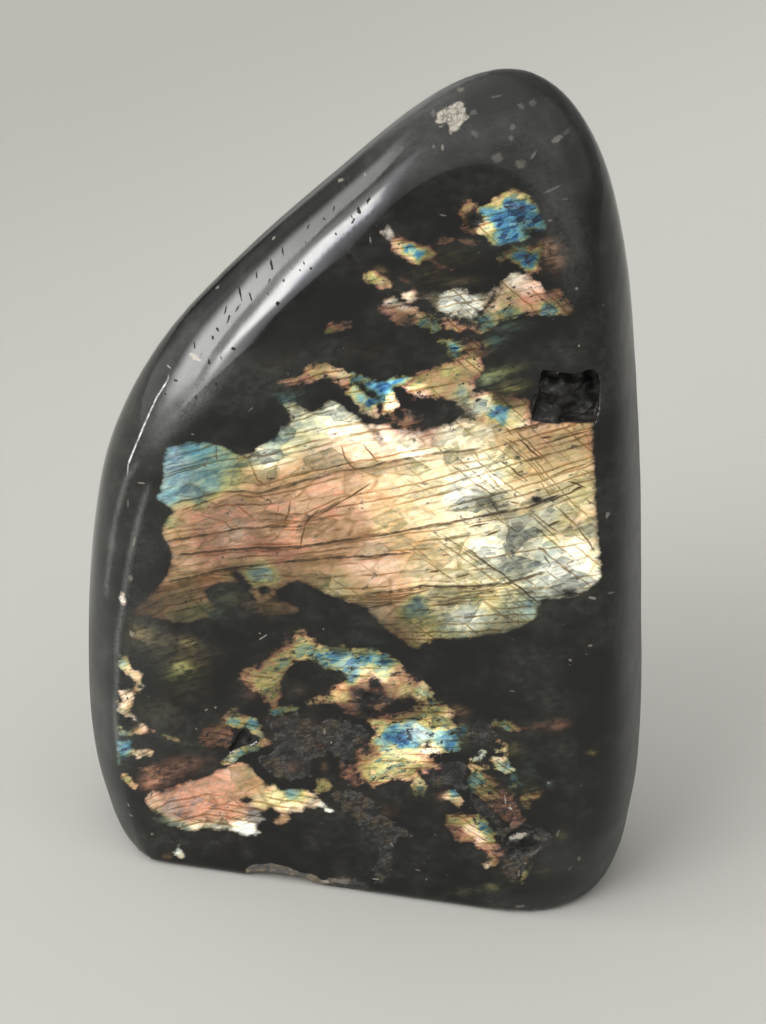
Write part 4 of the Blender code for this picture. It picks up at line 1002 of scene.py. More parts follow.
for name, cracks in (("rising", RISING_CRACKS), ("falling", FALLING_CRACKS)):
    for what, values in zip(("run", "strength", "gap"), crack_run(spots, cracks, OUTER_GAP)):
        keep_field(f"{name}_{what}", values)
for name, values in (("edge", edge), ("layer", layer), ("strength", FLASH_GAIN * strength**LIGHT_POWER),
                     ("pale", pale), ("rim", rim_run), ("broken", broken)):
    keep_field(f"flash_{name}", values)
keep_field("cloud", np.clip(cloud, 0, 1) ** LIGHT_POWER)
keep_field("cloud_layer", cloud_layer)

# ---------------------------------------------------------------- stone: its dull patches, specks and pits
# Where the feldspar is shot through with other minerals it takes no polish. Whitish grains dot the crown and
# the edges, and hard grains that broke out during grinding left small pits. It is hazy in places, with
# painted sheen on its rims and crown and painted highlights along the left rim.

DULL_PATCHES = (
    ((0, 14.5), (2.2, 15), (5, 14.2), (6, 12.2), (8.5, 10.6), (10.2, 9.6), (8.2, 9), (7.4, 7.2), (7.2, 5),
     (6.9, 2.8), (5.6, 1.8), (5, 3.8), (5.5, 6.6), (3.7, 9), (1.2, 11.8), (-0.4, 13.6)),
    ((12.2, 20.6), (14, 21), (16.2, 21.2), (16.4, 19.6), (16, 18.4), (16.6, 17), (15.6, 17.4), (14.4, 17.6),
     (12.6, 16.9), (11.9, 17.8), (11.4, 18.8), (13, 19.4)),
    ((-2.6, 24), (0.6, 25), (3.8, 23.6), (3.4, 22.2), (2, 20.8), (1.8, 19.2), (0, 19), (-1.4, 20.2),
     (-3, 21.8)),
    ((-9.2, 23.8), (-5.6, 24.4), (-2.8, 23.8), (-3.2, 21.4), (-1.2, 19.6), (-3.2, 18.6), (-3.6, 16.4),
     (-6, 15.2), (-8.8, 15.8), (-10.6, 17.6), (-8.6, 19.2), (-8.2, 21.2)),
    ((16.8, 26.6), (18.6, 27.2), (20.2, 25.8), (19.2, 24.4), (17.2, 23.8), (16.6, 25)),
    ((20.8, 11.4), (22.2, 13.2), (24.4, 13.6), (26.8, 13), (27.2, 11.2), (26, 9.8), (25, 9), (24.4, 7),
     (23.2, 5.4), (21.6, 6.2), (21.4, 8.2), (22.4, 9.4)),
    ((16, 17.4), (18, 16.2), (19.6, 15), (21, 13.2), (22.2, 12), (21, 11.4), (19.8, 13.6), (17.6, 15.2)),
    ((-1.8, 1.7), (0.6, 2), (3.6, 1.9), (4.4, 0.4), (-2.2, 0.2)),
)
FOOT_FLAKE = (
    (-12, 1.1), (-10.8, 2.1), (-9, 2.6), (-7, 2.7), (-4.8, 2.1), (-2.6, 1.8), (-1.4, 0.7), (-4, -0.6),
    (-10, -0.6),
)
WHITE_PATCH = (
    (8.7, 102), (9, 102.9), (10, 103.2), (10.7, 103.8), (11.6, 103.9), (12.3, 103.4), (12.9, 102.9),
    (12.3, 102.5), (12.2, 101.8), (11.4, 101.3), (10.9, 101), (10.3, 101.7), (9.5, 101.5),
)

# Marks too small for outlines: x, z, half width, half height, turn, and how strong the mark is.
SPECKS = (
    (13.2, 103.4, 0.4, 0.25, 20, 0.15), (8.3, 102.3, 0.3, 0.4, 30, 0.13),
    (11.1, 104.9, 0.45, 0.15, 15, 0.2), (13.7, 104.8, 0.5, 0.12, 15, 0.15), (9, 99.4, 0.15, 0.2, 0, 0.2),
    (10.1, 99.5, 0.18, 0.3, 0, 0.35), (15.5, 105.1, 0.8, 0.1, 15, 0.13),
    (18.5, 104.4, 0.4, 0.25, -20, 0.15), (19.7, 104.7, 0.4, 0.3, -20, 0.15),
    (18.9, 105.2, 0.3, 0.2, 0, 0.13), (17.3, 103.7, 0.7, 0.25, 10, 0.08), (17.9, 102.4, 0.3, 0.3, 0, 0.17),
    (17.9, 101.3, 0.3, 0.3, 0, 0.2), (13.7, 101.4, 0.6, 0.25, -15, 0.13), (16.5, 99.1, 0.6, 0.5, 10, 0.17),
    (19.2, 98.6, 0.6, 0.5, 10, 0.2), (20.5, 99.6, 0.5, 0.15, 60, 0.25), (22.9, 101.1, 0.55, 0.3, 20, 0.33),
    (23.7, 101.6, 0.4, 0.25, 30, 0.13), (22.9, 95.9, 0.9, 0.14, 25, 0.23), (24.4, 94.8, 0.3, 0.12, 0, 0.15),
    (22.9, 92.4, 0.3, 0.12, 10, 0.33), (20.3, 94.3, 0.25, 0.18, 20, 0.23), (26.4, 84.5, 0.2, 0.2, 0, 0.42),
    (27.1, 77.7, 0.15, 0.15, 0, 0.42), (31.7, 56.8, 0.18, 0.4, -20, 0.42), (30.6, 45.9, 0.4, 0.2, 0, 0.42),
    (32.8, 46.6, 0.4, 0.12, 0, 0.28), (30.7, 39.5, 0.25, 0.15, 20, 0.35), (28.4, 37.2, 0.18, 0.15, 0, 0.35),
    (30.9, 8.8, 0.2, 0.35, 0, 0.28), (29.9, 7.4, 0.4, 0.12, 50, 0.24), (26.7, 19.9, 0.2, 0.2, 0, 0.35),
    (21.5, 32, 0.4, 0.1, 0, 0.21), (-10, 35, 0.7, 0.1, 40, 0.6), (-10.4, 35.5, 0.15, 0.12, 0, 0.5),
    (-2.3, 37.2, 0.1, 0.1, 0, 0.4), (-17.2, 23.8, 0.25, 0.1, 30, 0.4), (-16, 24.3, 0.15, 0.15, 0, 0.4),
    (-18.5, 20.9, 0.15, 0.15, 0, 0.4), (23.3, 11.5, 0.9, 0.4, 30, 1), (22.4, 11, 0.4, 0.25, 0, 0.9),
    (21.4, 16.6, 0.1, 0.7, 10, 0.6), (22.1, 15.6, 0.25, 0.25, 0, 0.9), (23.2, 16.2, 0.5, 0.15, 40, 0.8),
    (22, 13.9, 0.1, 0.5, 0, 0.4), (21.6, 12.4, 0.6, 0.1, -60, 0.5), (5.3, 2.6, 0.4, 0.12, 0, 0.6),
    (-1, 21.5, 0.15, 0.15, 0, 0.7), (-1.9, 22.9, 0.15, 0.4, 0, 0.35), (10.7, 4.8, 0.4, 0.12, 0, 0.21),
    (11.8, 3.6, 0.15, 0.15, 0, 0.28), (7.2, 8, 0.15, 0.3, 30, 0.4), (24, 1.4, 0.7, 0.25, 10, 0.24),
    (-26.5, 45.9, 0.15, 0.8, -15, 0.35), (-27, 40.8, 0.3, 0.4, 0, 0.3), (-25.7, 53.7, 0.5, 0.1, 10, 0.4),
    (-27.5, 50.6, 0.1, 0.5, 0, 0.3), (-27.7, 8.2, 0.15, 0.3, 0, 0.4), (-27.4, 6.6, 0.3, 0.15, 0, 0.3),
    (10.6, 91.8, 0.5, 0.08, -5, 0.28), (24.5, 73, 0.15, 0.15, 0, 0.63), (2.2, 88, 0.12, 0.5, 10, 0.4),
    (0.6, 1.5, 1.6, 0.4, 5, 0.3), (-1.2, 1.1, 0.5, 0.25, 10, 0.6), (23.6, 6.4, 0.12, 0.5, 0, 0.28),
    (24.3, 8, 0.12, 0.12, 0, 0.42), (25.5, 11.6, 0.5, 0.4, 0, 0.14), (24.8, 10.2, 0.5, 0.15, 0, 0.5),
    (28.2, 12.9, 0.2, 0.5, -20, 0.17), (-19, 61.2, 0.2, 0.1, 0, 0.3), (-11.8, 65.3, 0.5, 0.08, 45, 0.3),
    (-19.3, 70.2, 0.9, 0.25, -8, 0.9), (-23.1, 67.9, 0.35, 0.1, 0, 0.7), (-2.6, 92.9, 0.5, 0.14, 25, 0.44),
    (0.7, 94.6, 0.2, 0.15, 0, 0.27), (-10.6, 84.9, 0.3, 0.12, 40, 0.5), (-17.7, 77.6, 0.3, 0.12, 40, 0.4),
    (-24.4, 4.6, 0.2, 0.2, 0, 0.3), (-26.9, 33.2, 0.3, 0.5, 20, 0.5),
)
PITS = (
    (-10.2, 82.6, 0.18, 0.55, 25, 1), (-8.9, 84.3, 0.14, 0.4, 30, 0.8), (-14.1, 78.6, 0.16, 0.7, 30, 1),
    (-12.5, 78.6, 0.14, 0.5, 35, 0.9), (-15.8, 76.2, 0.13, 0.5, -10, 0.8),
    (-15.2, 75.5, 0.14, 0.6, -15, 0.8), (-16.6, 74, 0.25, 0.25, 0, 0.9), (-17.1, 73, 0.2, 0.22, 0, 0.8),
    (-12.1, 81, 0.14, 0.3, 20, 0.8), (-10.2, 81, 0.13, 0.3, -30, 0.7), (-14.1, 77, 0.12, 0.5, -30, 0.7),
    (-15.9, 77.6, 0.14, 0.3, 0, 0.7), (-5.9, 87.6, 0.12, 0.45, -20, 0.7), (-3.9, 89, 0.25, 0.14, 0, 0.7),
    (-2.8, 90.3, 0.13, 0.35, 0, 0.7), (-8.8, 78.8, 0.24, 0.24, 20, 0.9), (-4.9, 83.6, 0.18, 0.2, 0, 0.8),
    (-14.2, 72.5, 0.4, 0.18, 20, 0.9), (1.6, 92.3, 0.18, 0.42, -25, 0.9), (0.5, 91, 0.26, 0.36, 20, 0.9),
    (-0.1, 89.7, 0.14, 0.36, -35, 0.8), (-2.1, 87.9, 0.15, 0.15, 0, 0.7), (-8.3, 81.5, 0.15, 0.15, 0, 0.7),
    (-14.6, 74.2, 0.1, 0.3, 30, 0.6), (-18.7, 65.8, 0.25, 0.35, -20, 0.9), (-16.1, 67.9, 0.24, 0.2, 0, 0.9),
    (-21.8, 66.9, 0.3, 0.15, 20, 0.8), (-23.1, 65, 0.2, 0.14, 20, 0.8), (-17.3, 70.3, 0.25, 0.25, 0, 0.9),
    (-19.6, 71.4, 0.14, 0.4, 20, 0.8), (-2, 92.6, 0.3, 0.14, 25, 0.8), (14.2, 91.7, 0.75, 0.5, 0, 0.9),
    (3.7, 21.4, 0.4, 0.28, 0, 0.8), (3.7, 28.7, 0.8, 0.45, -10, 0.8), (3.9, 26.4, 0.5, 0.32, 0, 0.8),
    (-9.9, 41.6, 0.5, 0.3, 0, 0.7), (-27.3, 20.9, 0.45, 0.3, 0, 0.7), (27.7, 46.1, 0.5, 0.25, 0, 0.9),
    (23.2, 57.8, 0.4, 0.28, 0, 0.8), (3.9, 67.2, 0.3, 0.25, 60, 0.7), (22.6, 9.2, 0.5, 0.35, 0, 0.8),
    (-8, 9.6, 0.4, 0.3, 0, 0.7), (6.3, 66.3, 0.4, 0.28, 0, 0.7), (20.6, 62.8, 0.5, 0.3, 20, 0.8),
    (21.6, 60.9, 0.5, 0.16, 20, 0.7), (25, 58, 0.5, 0.2, -30, 0.8), (19.4, 56.6, 0.7, 0.2, 25, 0.8),
    (23.6, 53.8, 0.6, 0.25, 10, 0.8), (12.6, 49.2, 0.5, 0.14, 15, 0.7), (-18.4, 48.6, 0.5, 0.16, 20, 0.6),
    (7, 38.4, 0.5, 0.2, 0, 0.6), (17.5, 52.8, 0.4, 0.2, 15, 0.7),
)
OPEN_PIT = 0.28  # pits at least this wide each way are also cut into the form

# Single cracks that leave the two sets: where in the camera's frame each one begins and ends, across and
# down in pixels, and its strength.
CRACK_ENDS = (
    (255, 494, 270, 502, 0.5), (303, 526, 318, 510, 0.8), (319, 515, 342, 502, 0.85),
    (342, 502, 368, 485, 0.9), (300, 549, 305, 525, 0.7), (284, 525, 291, 502, 0.7),
    (276, 520, 279, 504, 0.4), (235, 503, 256, 521, 0.55), (190, 513, 225, 522, 0.4),
    (225, 522, 235, 531, 0.5), (250, 463, 257, 480, 0.6), (257, 480, 267, 486, 0.6),
    (341, 446, 346, 460, 0.7), (346, 460, 355, 470, 0.8), (364, 446, 377, 461, 0.8),
    (216, 445, 217, 462, 0.6), (345, 537, 358, 521, 0.35), (320, 572, 370, 601, 0.45),
    (360, 562, 376, 576, 0.4), (283, 434, 294, 434, 0.5), (286, 419, 340, 404, 0.6),
    (286, 435, 322, 428, 0.6), (284, 455, 340, 441, 0.6), (262, 470, 300, 459, 0.5),
    (182, 511, 222, 496, 0.7), (167, 473, 213, 461, 0.7), (200, 577, 240, 568, 0.6),
    (293, 500, 306, 489, 0.5), (282, 478, 300, 473, 0.5), (322, 478, 326, 470, 0.4),
    (236, 545, 246, 553, 0.4), (520, 440, 540, 458, 0.9), (448, 462, 470, 480, 0.6),
    (470, 480, 492, 494, 0.7), (484, 470, 502, 490, 0.6), (473, 450, 479, 460, 0.6),
    (405, 478, 432, 494, 0.4), (440, 541, 470, 563, 0.6), (470, 563, 500, 584, 0.6),
    (405, 540, 440, 568, 0.5), (480, 598, 512, 623, 0.6), (505, 586, 512, 600, 0.6),
    (556, 506, 580, 530, 0.7), (580, 530, 594, 550, 0.8), (528, 512, 558, 540, 0.6),
    (509, 466, 526, 480, 0.8), (540, 482, 552, 498, 0.6), (575, 465, 598, 478, 0.5),
    (586, 500, 600, 508, 0.6), (490, 500, 502, 518, 0.7), (463, 545, 505, 577, 0.8),
    (505, 577, 536, 601, 0.8), (400, 551, 410, 554, 0.7), (457, 577, 470, 574, 0.8),
    (431, 572, 440, 570, 0.8), (433, 605, 462, 603, 0.9), (425, 598, 450, 597, 0.7),
    (521, 462, 545, 457, 0.7), (545, 478, 590, 462, 0.7), (540, 444, 592, 430, 0.8),
    (505, 432, 545, 421, 0.9), (546, 503, 580, 488, 0.9), (487, 535, 498, 531, 1),
    (487, 592, 496, 591, 0.9), (475, 598, 482, 592, 0.7), (562, 567, 570, 573, 0.8),
    (572, 593, 577, 594, 1), (560, 600, 592, 596, 0.8), (592, 596, 620, 588, 0.5),
    (570, 482, 583, 487, 0.9), (573, 490, 583, 487, 0.9), (400, 597, 430, 590, 0.8),
    (388, 599, 410, 597, 0.7), (366, 608, 400, 602, 0.8), (350, 561, 410, 553, 0.7),
    (472, 527, 486, 524, 1), (541, 438, 552, 436, 0.9), (543, 440, 556, 440, 0.9),
    (508, 440, 518, 446, 0.7), (506, 428, 512, 434, 0.7), (533, 497, 537, 503, 0.9),
    (512, 502, 518, 503, 0.8), (551, 524, 559, 521, 0.8), (540, 548, 546, 552, 0.9),
    (544, 556, 549, 563, 0.8), (505, 551, 512, 560, 0.6), (150, 590, 190, 580, 0.4),
    (205, 808, 235, 800, 0.5), (170, 812, 195, 822, 0.5), (186, 818, 215, 823, 0.5),
    (215, 823, 238, 816, 0.6), (230, 797, 250, 812, 0.5),
)
FRAME_WIDTH, FRAME_HEIGHT = 766, 1024
CRACK_HALF_WIDTH = 0.12
SHORTEST_CRACK, CRACK_TIP = 0.4, 0.15  # half lengths: the least of a crack, and what its thin tips add

# Pale places, partly haze in the body and partly painted sheen on the rims and the crown: x, z, half length,
# half width, turn, how pale, and how far onto the face.
HAZE_AND_SHEEN_PLACES = (
    (-19.3, 65.2, 7, 1.4, 50, 0.07, 0.2), (-31, 30, 18, 1.6, 88, 0.016, 0.2),
    (-26, 28, 22, 4.5, 88, 0.015, 6), (24.6, 90, 7, 2, -68, 0.026, 0), (22, 97, 5, 2.6, -55, 0.01, 0),
    (27.5, 85, 6, 2.6, -75, 0.007, 0), (14, 101, 10, 5, 10, 0.014, 0), (29, 9, 6, 3, 75, 0.012, 3),
    (24, 1.5, 6, 1.6, 10, 0.014, 3), (-4.7, 30.2, 2.6, 3, 0, 0.036, 9), (7, 73.4, 3.6, 2, 20, 0.018, 9),
    (11, 76, 3, 1.6, 10, 0.016, 9), (-9, 72, 4, 2.4, 20, 0.008, 9), (14.6, 88.6, 4, 1.2, 10, 0.01, 9),
    (-11.5, 27, 3, 4, 0, 0.012, 9),
)
# Thin painted highlights run along the left rim where its ground facets meet, standing for the reflections
# there:
# half width, how pale, and points x, z.
RIM_HIGHLIGHTS = (
    (0.4, 0.05, ((-26, 56.6), (-28, 53.3), (-29.4, 47.7), (-30.2, 42.2), (-30.8, 36.6))),
    (0.36, 0.06, (
        (-24.5, 54.4), (-26, 48.9), (-27.2, 43.3), (-28, 37.7), (-28.9, 31.9), (-29, 26.3), (-29.3, 20.3),
        (-28.9, 14.5))),
)
# A painted highlight along a ridge on the left rim, through points x, z.
RIDGE_HIGHLIGHT = ((-27.8, 55.2), (-27, 57.4), (-25.7, 60.8), (-24.3, 64.2), (-22.9, 66.6))

# The polished shoulder is scattered with fine pits, and the whole front with fine specks.
SHOULDER_FROM, SHOULDER_TO = (-19.0, 71.2), (1.5, 93.0)
FINE_PITS, FINE_SPECKS = 62, 90


def seen_at(across, down):
    """The point (x, z) of the stone that the camera sees at a pixel of its frame."""
    pixel = CAMERA_SENSOR / FRAME_HEIGHT / CAMERA_LENS
    ray = Vector(((across - FRAME_WIDTH / 2) * pixel, (FRAME_HEIGHT / 2 - down) * pixel, -1.0))
    hit = seen_stone.ray_cast(camera.matrix_world.translation, camera.matrix_world.to_3x3() @ ray)[0] / MM
    return hit.x, hit.z


def crack_between(ends, strength):
    """A single crack as a mark: its middle, its half length and half width, its turn and its strength."""
    (x, z), (far_x, far_z) = seen_at(*ends[:2]), seen_at(*ends[2:])
    half_length = max(math.hypot(far_x - x, far_z - z) / 2, SHORTEST_CRACK) + CRACK_TIP
    turn = math.degrees(math.atan2(far_z - z, far_x - x))
    return (x + far_x) / 2, (z + far_z) / 2, half_length, CRACK_HALF_WIDTH, turn, strength


def keep_marks(name, marks, most_sets):
    """Keeps each point's place from the mark near it, in the mark's half sizes, with the mark's strength.

    A mark may so be finer than the mesh. Marks that lie close together go to different attributes.
    """
    sets = []
    for x, z, half_width, half_height, turn, amount in marks:
        along, across = turned(x, z, turn)
        away = np.hypot(np.maximum(abs(along) - half_width, 0), np.maximum(abs(across) - half_height, 0))
        near = (away < 1.0) & front_side
        for taken, kept in sets:
            if not (taken & near).any():
                break
        else:
            if len(sets) == most_sets:
                continue
            taken, kept = np.zeros(len(spots), bool), np.zeros((len(spots), 3))
            sets.append((taken, kept))
        taken |= near
        kept[near] = np.stack([along / half_width, across / half_height, amount * (away < 0.55)], 1)[near]
    for number, (taken, kept) in enumerate(sets):
        attribute = even.attributes.new(f"{name}_{number}", "FLOAT_VECTOR", "POINT")
        attribute.data.foreach_set("vector", kept.astype(np.float32).ravel())
    return len(sets)


# The ground of those places is a little lower than the polish, and broken.
front_side = normals[:, 1] < -0.12
rough = np.zeros(len(points))
rough[front_side] = [crag(p, 0.9) for p in points[front_side]]
dull = np.max([depth_on(faces_front, outline) for outline in DULL_PATCHES], axis=0)
flake = depth_on(points[:, 1] < -10, FOOT_FLAKE)
whitish = depth_on(front_side, WHITE_PATCH)
sink = np.clip(dull / 0.5 + 0.3, 0, 1) * (0.07 - 0.06 * rough)
sink += np.clip(flake / 0.4, 0, 1) * (0.10 - 0.08 * rough)
sink += np.clip(whitish / 0.4 + 0.3, 0, 1) * (0.08 - 0.07 * rough)
sink *= void_floor < 0.05
for x, z, half_width, half_height, turn, depth in PITS:
    if min(half_width, half_height) >= OPEN_PIT:
        along, across = turned(x, z, turn)
        bowl = np.clip(1.3 - (along / half_width) ** 2 - (across / half_height) ** 2, 0, 1)
        sink += front_side * 0.35 * depth * bowl
points -= normals * np.maximum(sink, 0)[:, None] * (points[:, 2:3] > 0.05)
put_positions(even, points)

random = np.random.default_rng(5)
fine_pits = []
for _ in range(FINE_PITS):
    t, off = random.uniform(0, 1), random.normal(0, 1.5)
    x = SHOULDER_FROM[0] + t * (SHOULDER_TO[0] - SHOULDER_FROM[0]) - 0.73 * off
    z = SHOULDER_FROM[1] + t * (SHOULDER_TO[1] - SHOULDER_FROM[1]) + 0.68 * off + 1.1 * math.sin(math.pi * t)
    half_width, half_height = random.uniform(0.05, 0.10), random.uniform(0.12, 0.38)
    turn, amount = random.choice((28, 40, -20, 60)), random.uniform(0.25, 0.75)
    fine_pits.append((x, z, half_width, half_height, turn, amount))
fine_specks = [(random.uniform(-28, 31), random.uniform(3, 104), random.uniform(0.05, 0.10),
                random.uniform(0.05, 0.12), 0, random.uniform(0.08, 0.32)) for _ in range(FINE_SPECKS)]
speck_sets = keep_marks("speck", list(SPECKS) + fine_specks, 2)
pit_sets = keep_marks("pit", list(PITS) + fine_pits, 3)
seen_stone = BVHTree.FromPolygons([tuple(vert.co) for vert in even.vertices],
                                  [tuple(face.vertices) for face in even.polygons])
crack_sets = keep_marks("crack", [crack_between(ends, strength) for *ends, strength in CRACK_ENDS], 4)

# Where the painted highlight on the ridge lies, fading at both ends.
ridge_bottom, ridge_top = RIDGE_HIGHLIGHT[0][1], RIDGE_HIGHLIGHT[-1][1]
ridge_x = np.interp(spots[:, 1], [p[1] for p in RIDGE_HIGHLIGHT], [p[0] for p in RIDGE_HIGHLIGHT])
along_ridge = (spots[:, 1] - ridge_bottom) / (ridge_top - ridge_bottom)
ridge_ends = np.clip(6 * along_ridge + 0.8, 0, 1) * np.clip(8 * (1 - along_ridge) + 0.5, 0, 1)
keep_field("ridge_across", (spots[:, 0] - ridge_x) * 0.9)
keep_field("ridge_strength", front_side * ridge_ends)

# Haze, together with painted sheen on the rims and the crown and painted highlight lines along the left rim.
haze_and_sheen = np.zeros(len(points))
face_depth = depth_inside(spots, face_outline, 9.0)
for *oval, amount, reach in HAZE_AND_SHEEN_PLACES:
    haze_and_sheen += amount * soft_oval(*oval) * np.clip(0.5 + (reach - face_depth) / 0.5, 0, 1)
for half_width, amount, line in RIM_HIGHLIGHTS:
    heights = [p[1] for p in line]
    off_line = spots[:, 0] - np.interp(spots[:, 1], heights[::-1], [p[0] for p in line][::-1])
    ends = np.clip((heights[0] - spots[:, 1]) / 2, 0, 1) * np.clip((spots[:, 1] - heights[-1]) / 2, 0, 1)
    haze_and_sheen += amount * np.exp(-((off_line / half_width) ** 2)) * ends
haze_and_sheen *= points[:, 1] < 0
keep_field("haze_and_sheen", haze_and_sheen)

# The flat face's border, and the lower parts of both flanks, which are less finely polished.
keep_field("face_depth", np.minimum(face_depth + np.interp(spots[:, 0], (-8, 16), (2.6, 1.4)), 3.0))
right_flank = np.clip((spots[:, 0] - 18) / 6, 0, 1) * np.clip((88 - spots[:, 1]) / 20, 0, 1)
left_flank = np.clip((-24 - spots[:, 0]) / 4, 0, 1) * np.clip((44 - spots[:, 1]) / 16, 0, 1)
keep_field("satin", np.clip(-face_depth - 0.8, 0, 1) * np.maximum(right_flank, left_flank))
for name, values in (("dull_edge", dull), ("void_floor", void_floor), ("white_edge", whitish),
                     ("flake_edge", flake)):
    keep_field(name, values)
keep_field("right_part", np.clip((spots[:, 0] - 3.0) / 9.0, 0, 1))

# ---------------------------------------------------------------- stone: its finish
# The polish is glassy over a near-black body. The flashes are made of small cleavage facets, each of its own
# tone, between cracks that are stained brown; round the set cracks the stain is shifted to one side as
# painted shade, with a painted highlight on the other side of the rising ones. Painted sheen and painted
# highlights lie on the rims. Dull patches, pits and voids stay rough.

LAYER_COLOURS = (
    (0.06, (0.01, 0.045, 0.13)), (0.12, (0.02, 0.1, 0.27)), (0.18, (0.05, 0.22, 0.52)),
    (0.25, (0.11, 0.42, 0.66)), (0.33, (0.23, 0.54, 0.56)), (0.42, (0.43, 0.6, 0.38)),
    (0.5, (0.64, 0.66, 0.26)), (0.56, (0.86, 0.73, 0.24)), (0.62, (0.9, 0.7, 0.33)),
    (0.68, (0.86, 0.575, 0.26)), (0.74, (0.8, 0.47, 0.22)), (0.8, (0.72, 0.435, 0.25)),
    (0.86, (0.75, 0.335, 0.2)), (0.91, (0.42, 0.215, 0.14)), (0.96, (0.22, 0.13, 0.13)),
    (1, (0.06, 0.03, 0.02)),
)
PALE_FLASH = (0.90, 0.90, 0.82, 1.0)
BODY = (0.0006, 0.0006, 0.0005, 1.0)
BODY_FOG = (0.0175, 0.0172, 0.0145, 1.0)
PALE_HAZE_AND_SHEEN = (0.93, 0.98, 0.92, 1.0)
DULL_DARK = (0.0020, 0.0018, 0.0016, 1.0)
DULL_GRAY = (0.050, 0.051, 0.050, 1.0)
DULL_BROWN = (0.062, 0.046, 0.027, 1.0)
SPECK_WHITE = (0.34, 0.31, 0.26, 1.0)
CRACK_BROWN = (0.085, 0.050, 0.022, 1.0)
STAIN = (0.42, 0.325, 0.215, 1.0)
RIDGE_HIGHLIGHT_WHITE = (0.62, 0.62, 0.61, 1.0)
FLAKE_BROWN = (0.150, 0.120, 0.080, 1.0)
RUFFLE = 0.45 * MM  # how far the facets' edges wander

material, tree, shader = new_material("polished_labradorite")
place = add_node("ShaderNodeTexCoord").outputs["Object"]


def field(name):
    return add_node("ShaderNodeAttribute", {"attribute_name": name}).outputs["Fac"]


def stretched(long, across, turn, start=(0, 0, 0), place_from=place):
    """Coordinates for features this long and this wide in millimetres, turned in the plane of the face."""
    return add_node("ShaderNodeMapping", {"vector_type": "TEXTURE"}, Vector=place_from, Location=start,
                    Rotation=(0, -math.radians(turn), 0),
                    Scale=(long * MM, across * MM, across * MM)).outputs[0]


def grain(long, across, turn, detail=4.0, roughness=0.55, start=(0, 0, 0)):
    return add_node("ShaderNodeTexNoise", Vector=stretched(long, across, turn, start), Scale=1.0,
                    Detail=detail, Roughness=roughness).outputs["Fac"]


def facets(long, across, turn, start=(0, 0, 0)):
    """Broken cells of about this size: a random tone for each one, and the distance to its edge."""
    at = stretched(long, across, turn, start, ruffled)
    tone = add_node("ShaderNodeTexVoronoi", Vector=at, Scale=1.0).outputs["Color"]
    edge_of = add_node("ShaderNodeTexVoronoi", {"feature": "DISTANCE_TO_EDGE"}, Vector=at, Scale=1.0)
    return add_node("ShaderNodeSeparateXYZ", Vector=tone).outputs[0], edge_of.outputs["Distance"]


def line_at(run, every, gap, thin, soft, shift=0.0):
    """1 on lines where a value, times "every", is a whole number; thin and soft are in millimetres."""
    run = calc("MULTIPLY_ADD", run, every, shift)
    away = times(calc("ABSOLUTE", calc("SUBTRACT", run, calc("ROUND", run))), calc("DIVIDE", gap, every))
    return fall(away, thin, thin + soft)


def most(*values):
    result = values[0]
    for value in values[1:]:
        result = calc("MAXIMUM", result, value)
    return result


def evenly(first, second):
    return calc("ADD", times(first, 0.5), times(second, 0.5))


def shaken(value, by, reach):
    """A value moved up and down by a noise."""
    return calc("MULTIPLY_ADD", calc("SUBTRACT", by, 0.5), reach, value)


def layer_colour(value):
    ramp = add_node("ShaderNodeValToRGB", Fac=value)
    stops = ramp.color_ramp.elements
    while len(stops) < len(LAYER_COLOURS):
        stops.new(0.5)
    for stop, (at, colour) in zip(stops, LAYER_COLOURS):
        stop.position = at
    for stop, (at, colour) in zip(stops, LAYER_COLOURS):
        stop.color = (*colour, 1.0)
    return ramp.outputs["Color"]


def marks_of(name, sets):
    """For each set of marks, the place along and across the near mark in its half sizes, and its strength."""
    for number in range(sets):
        kept = add_node("ShaderNodeAttribute", {"attribute_name": f"{name}_{number}"}).outputs["Vector"]
        yield add_node("ShaderNodeSeparateXYZ", Vector=kept).outputs


def mark_mask(name, sets):
    """Where marks show, with ragged outlines."""
    shown = []
    for along, across, strength in marks_of(name, sets):
        away = calc("SQRT", calc("ADD", times(along, along), times(across, across)))
        shown.append(times(fall(shaken(away, ragged_noise, 2.2), 0.6, 1.25), strength))
    return most(*shown)


def crack_mask(name, sets):
    """Where single cracks show, as thin uneven lines."""
    shown = []
    for along, across, strength in marks_of(name, sets):
        across = calc("ABSOLUTE", calc("MULTIPLY_ADD", across, CRACK_HALF_WIDTH, times(waver, 0.7)))
        taper = times(times(along, along), 0.10)
        shown.append(times(fall(calc("ADD", across, taper), 0.03, 0.24), strength))
    return most(*shown)


# The textures that the finish is mixed from: grains from fine to broad, and facets of two sizes.
ruffle = add_node("ShaderNodeTexNoise", Vector=place, Scale=900.0, Detail=3.0).outputs["Color"]
ruffled = vector_math("MULTIPLY_ADD", ruffle, (RUFFLE, RUFFLE, RUFFLE), place)[0]
ragged_noise = grain(0.35, 0.35, 0, detail=3.0)
jag = grain(1.3, 0.9, 20)
coarse = grain(3.2, 2.4, 22, detail=3.0)
broad_noise = grain(9.0, 7.0, 15, detail=3.0, roughness=0.6)
streak = grain(5.0, 0.40, 23, roughness=0.62)
fine = grain(0.45, 0.22, 24, detail=3.0)
mottle = grain(1.3, 0.8, 24, roughness=0.66, start=(0.3, 0.1, 0.2))
big_tone, big_edge = facets(4.6, 2.3, 20)
small_tone, small_edge = facets(1.15, 0.5, 30, start=(0.01, 0.02, 0.03))

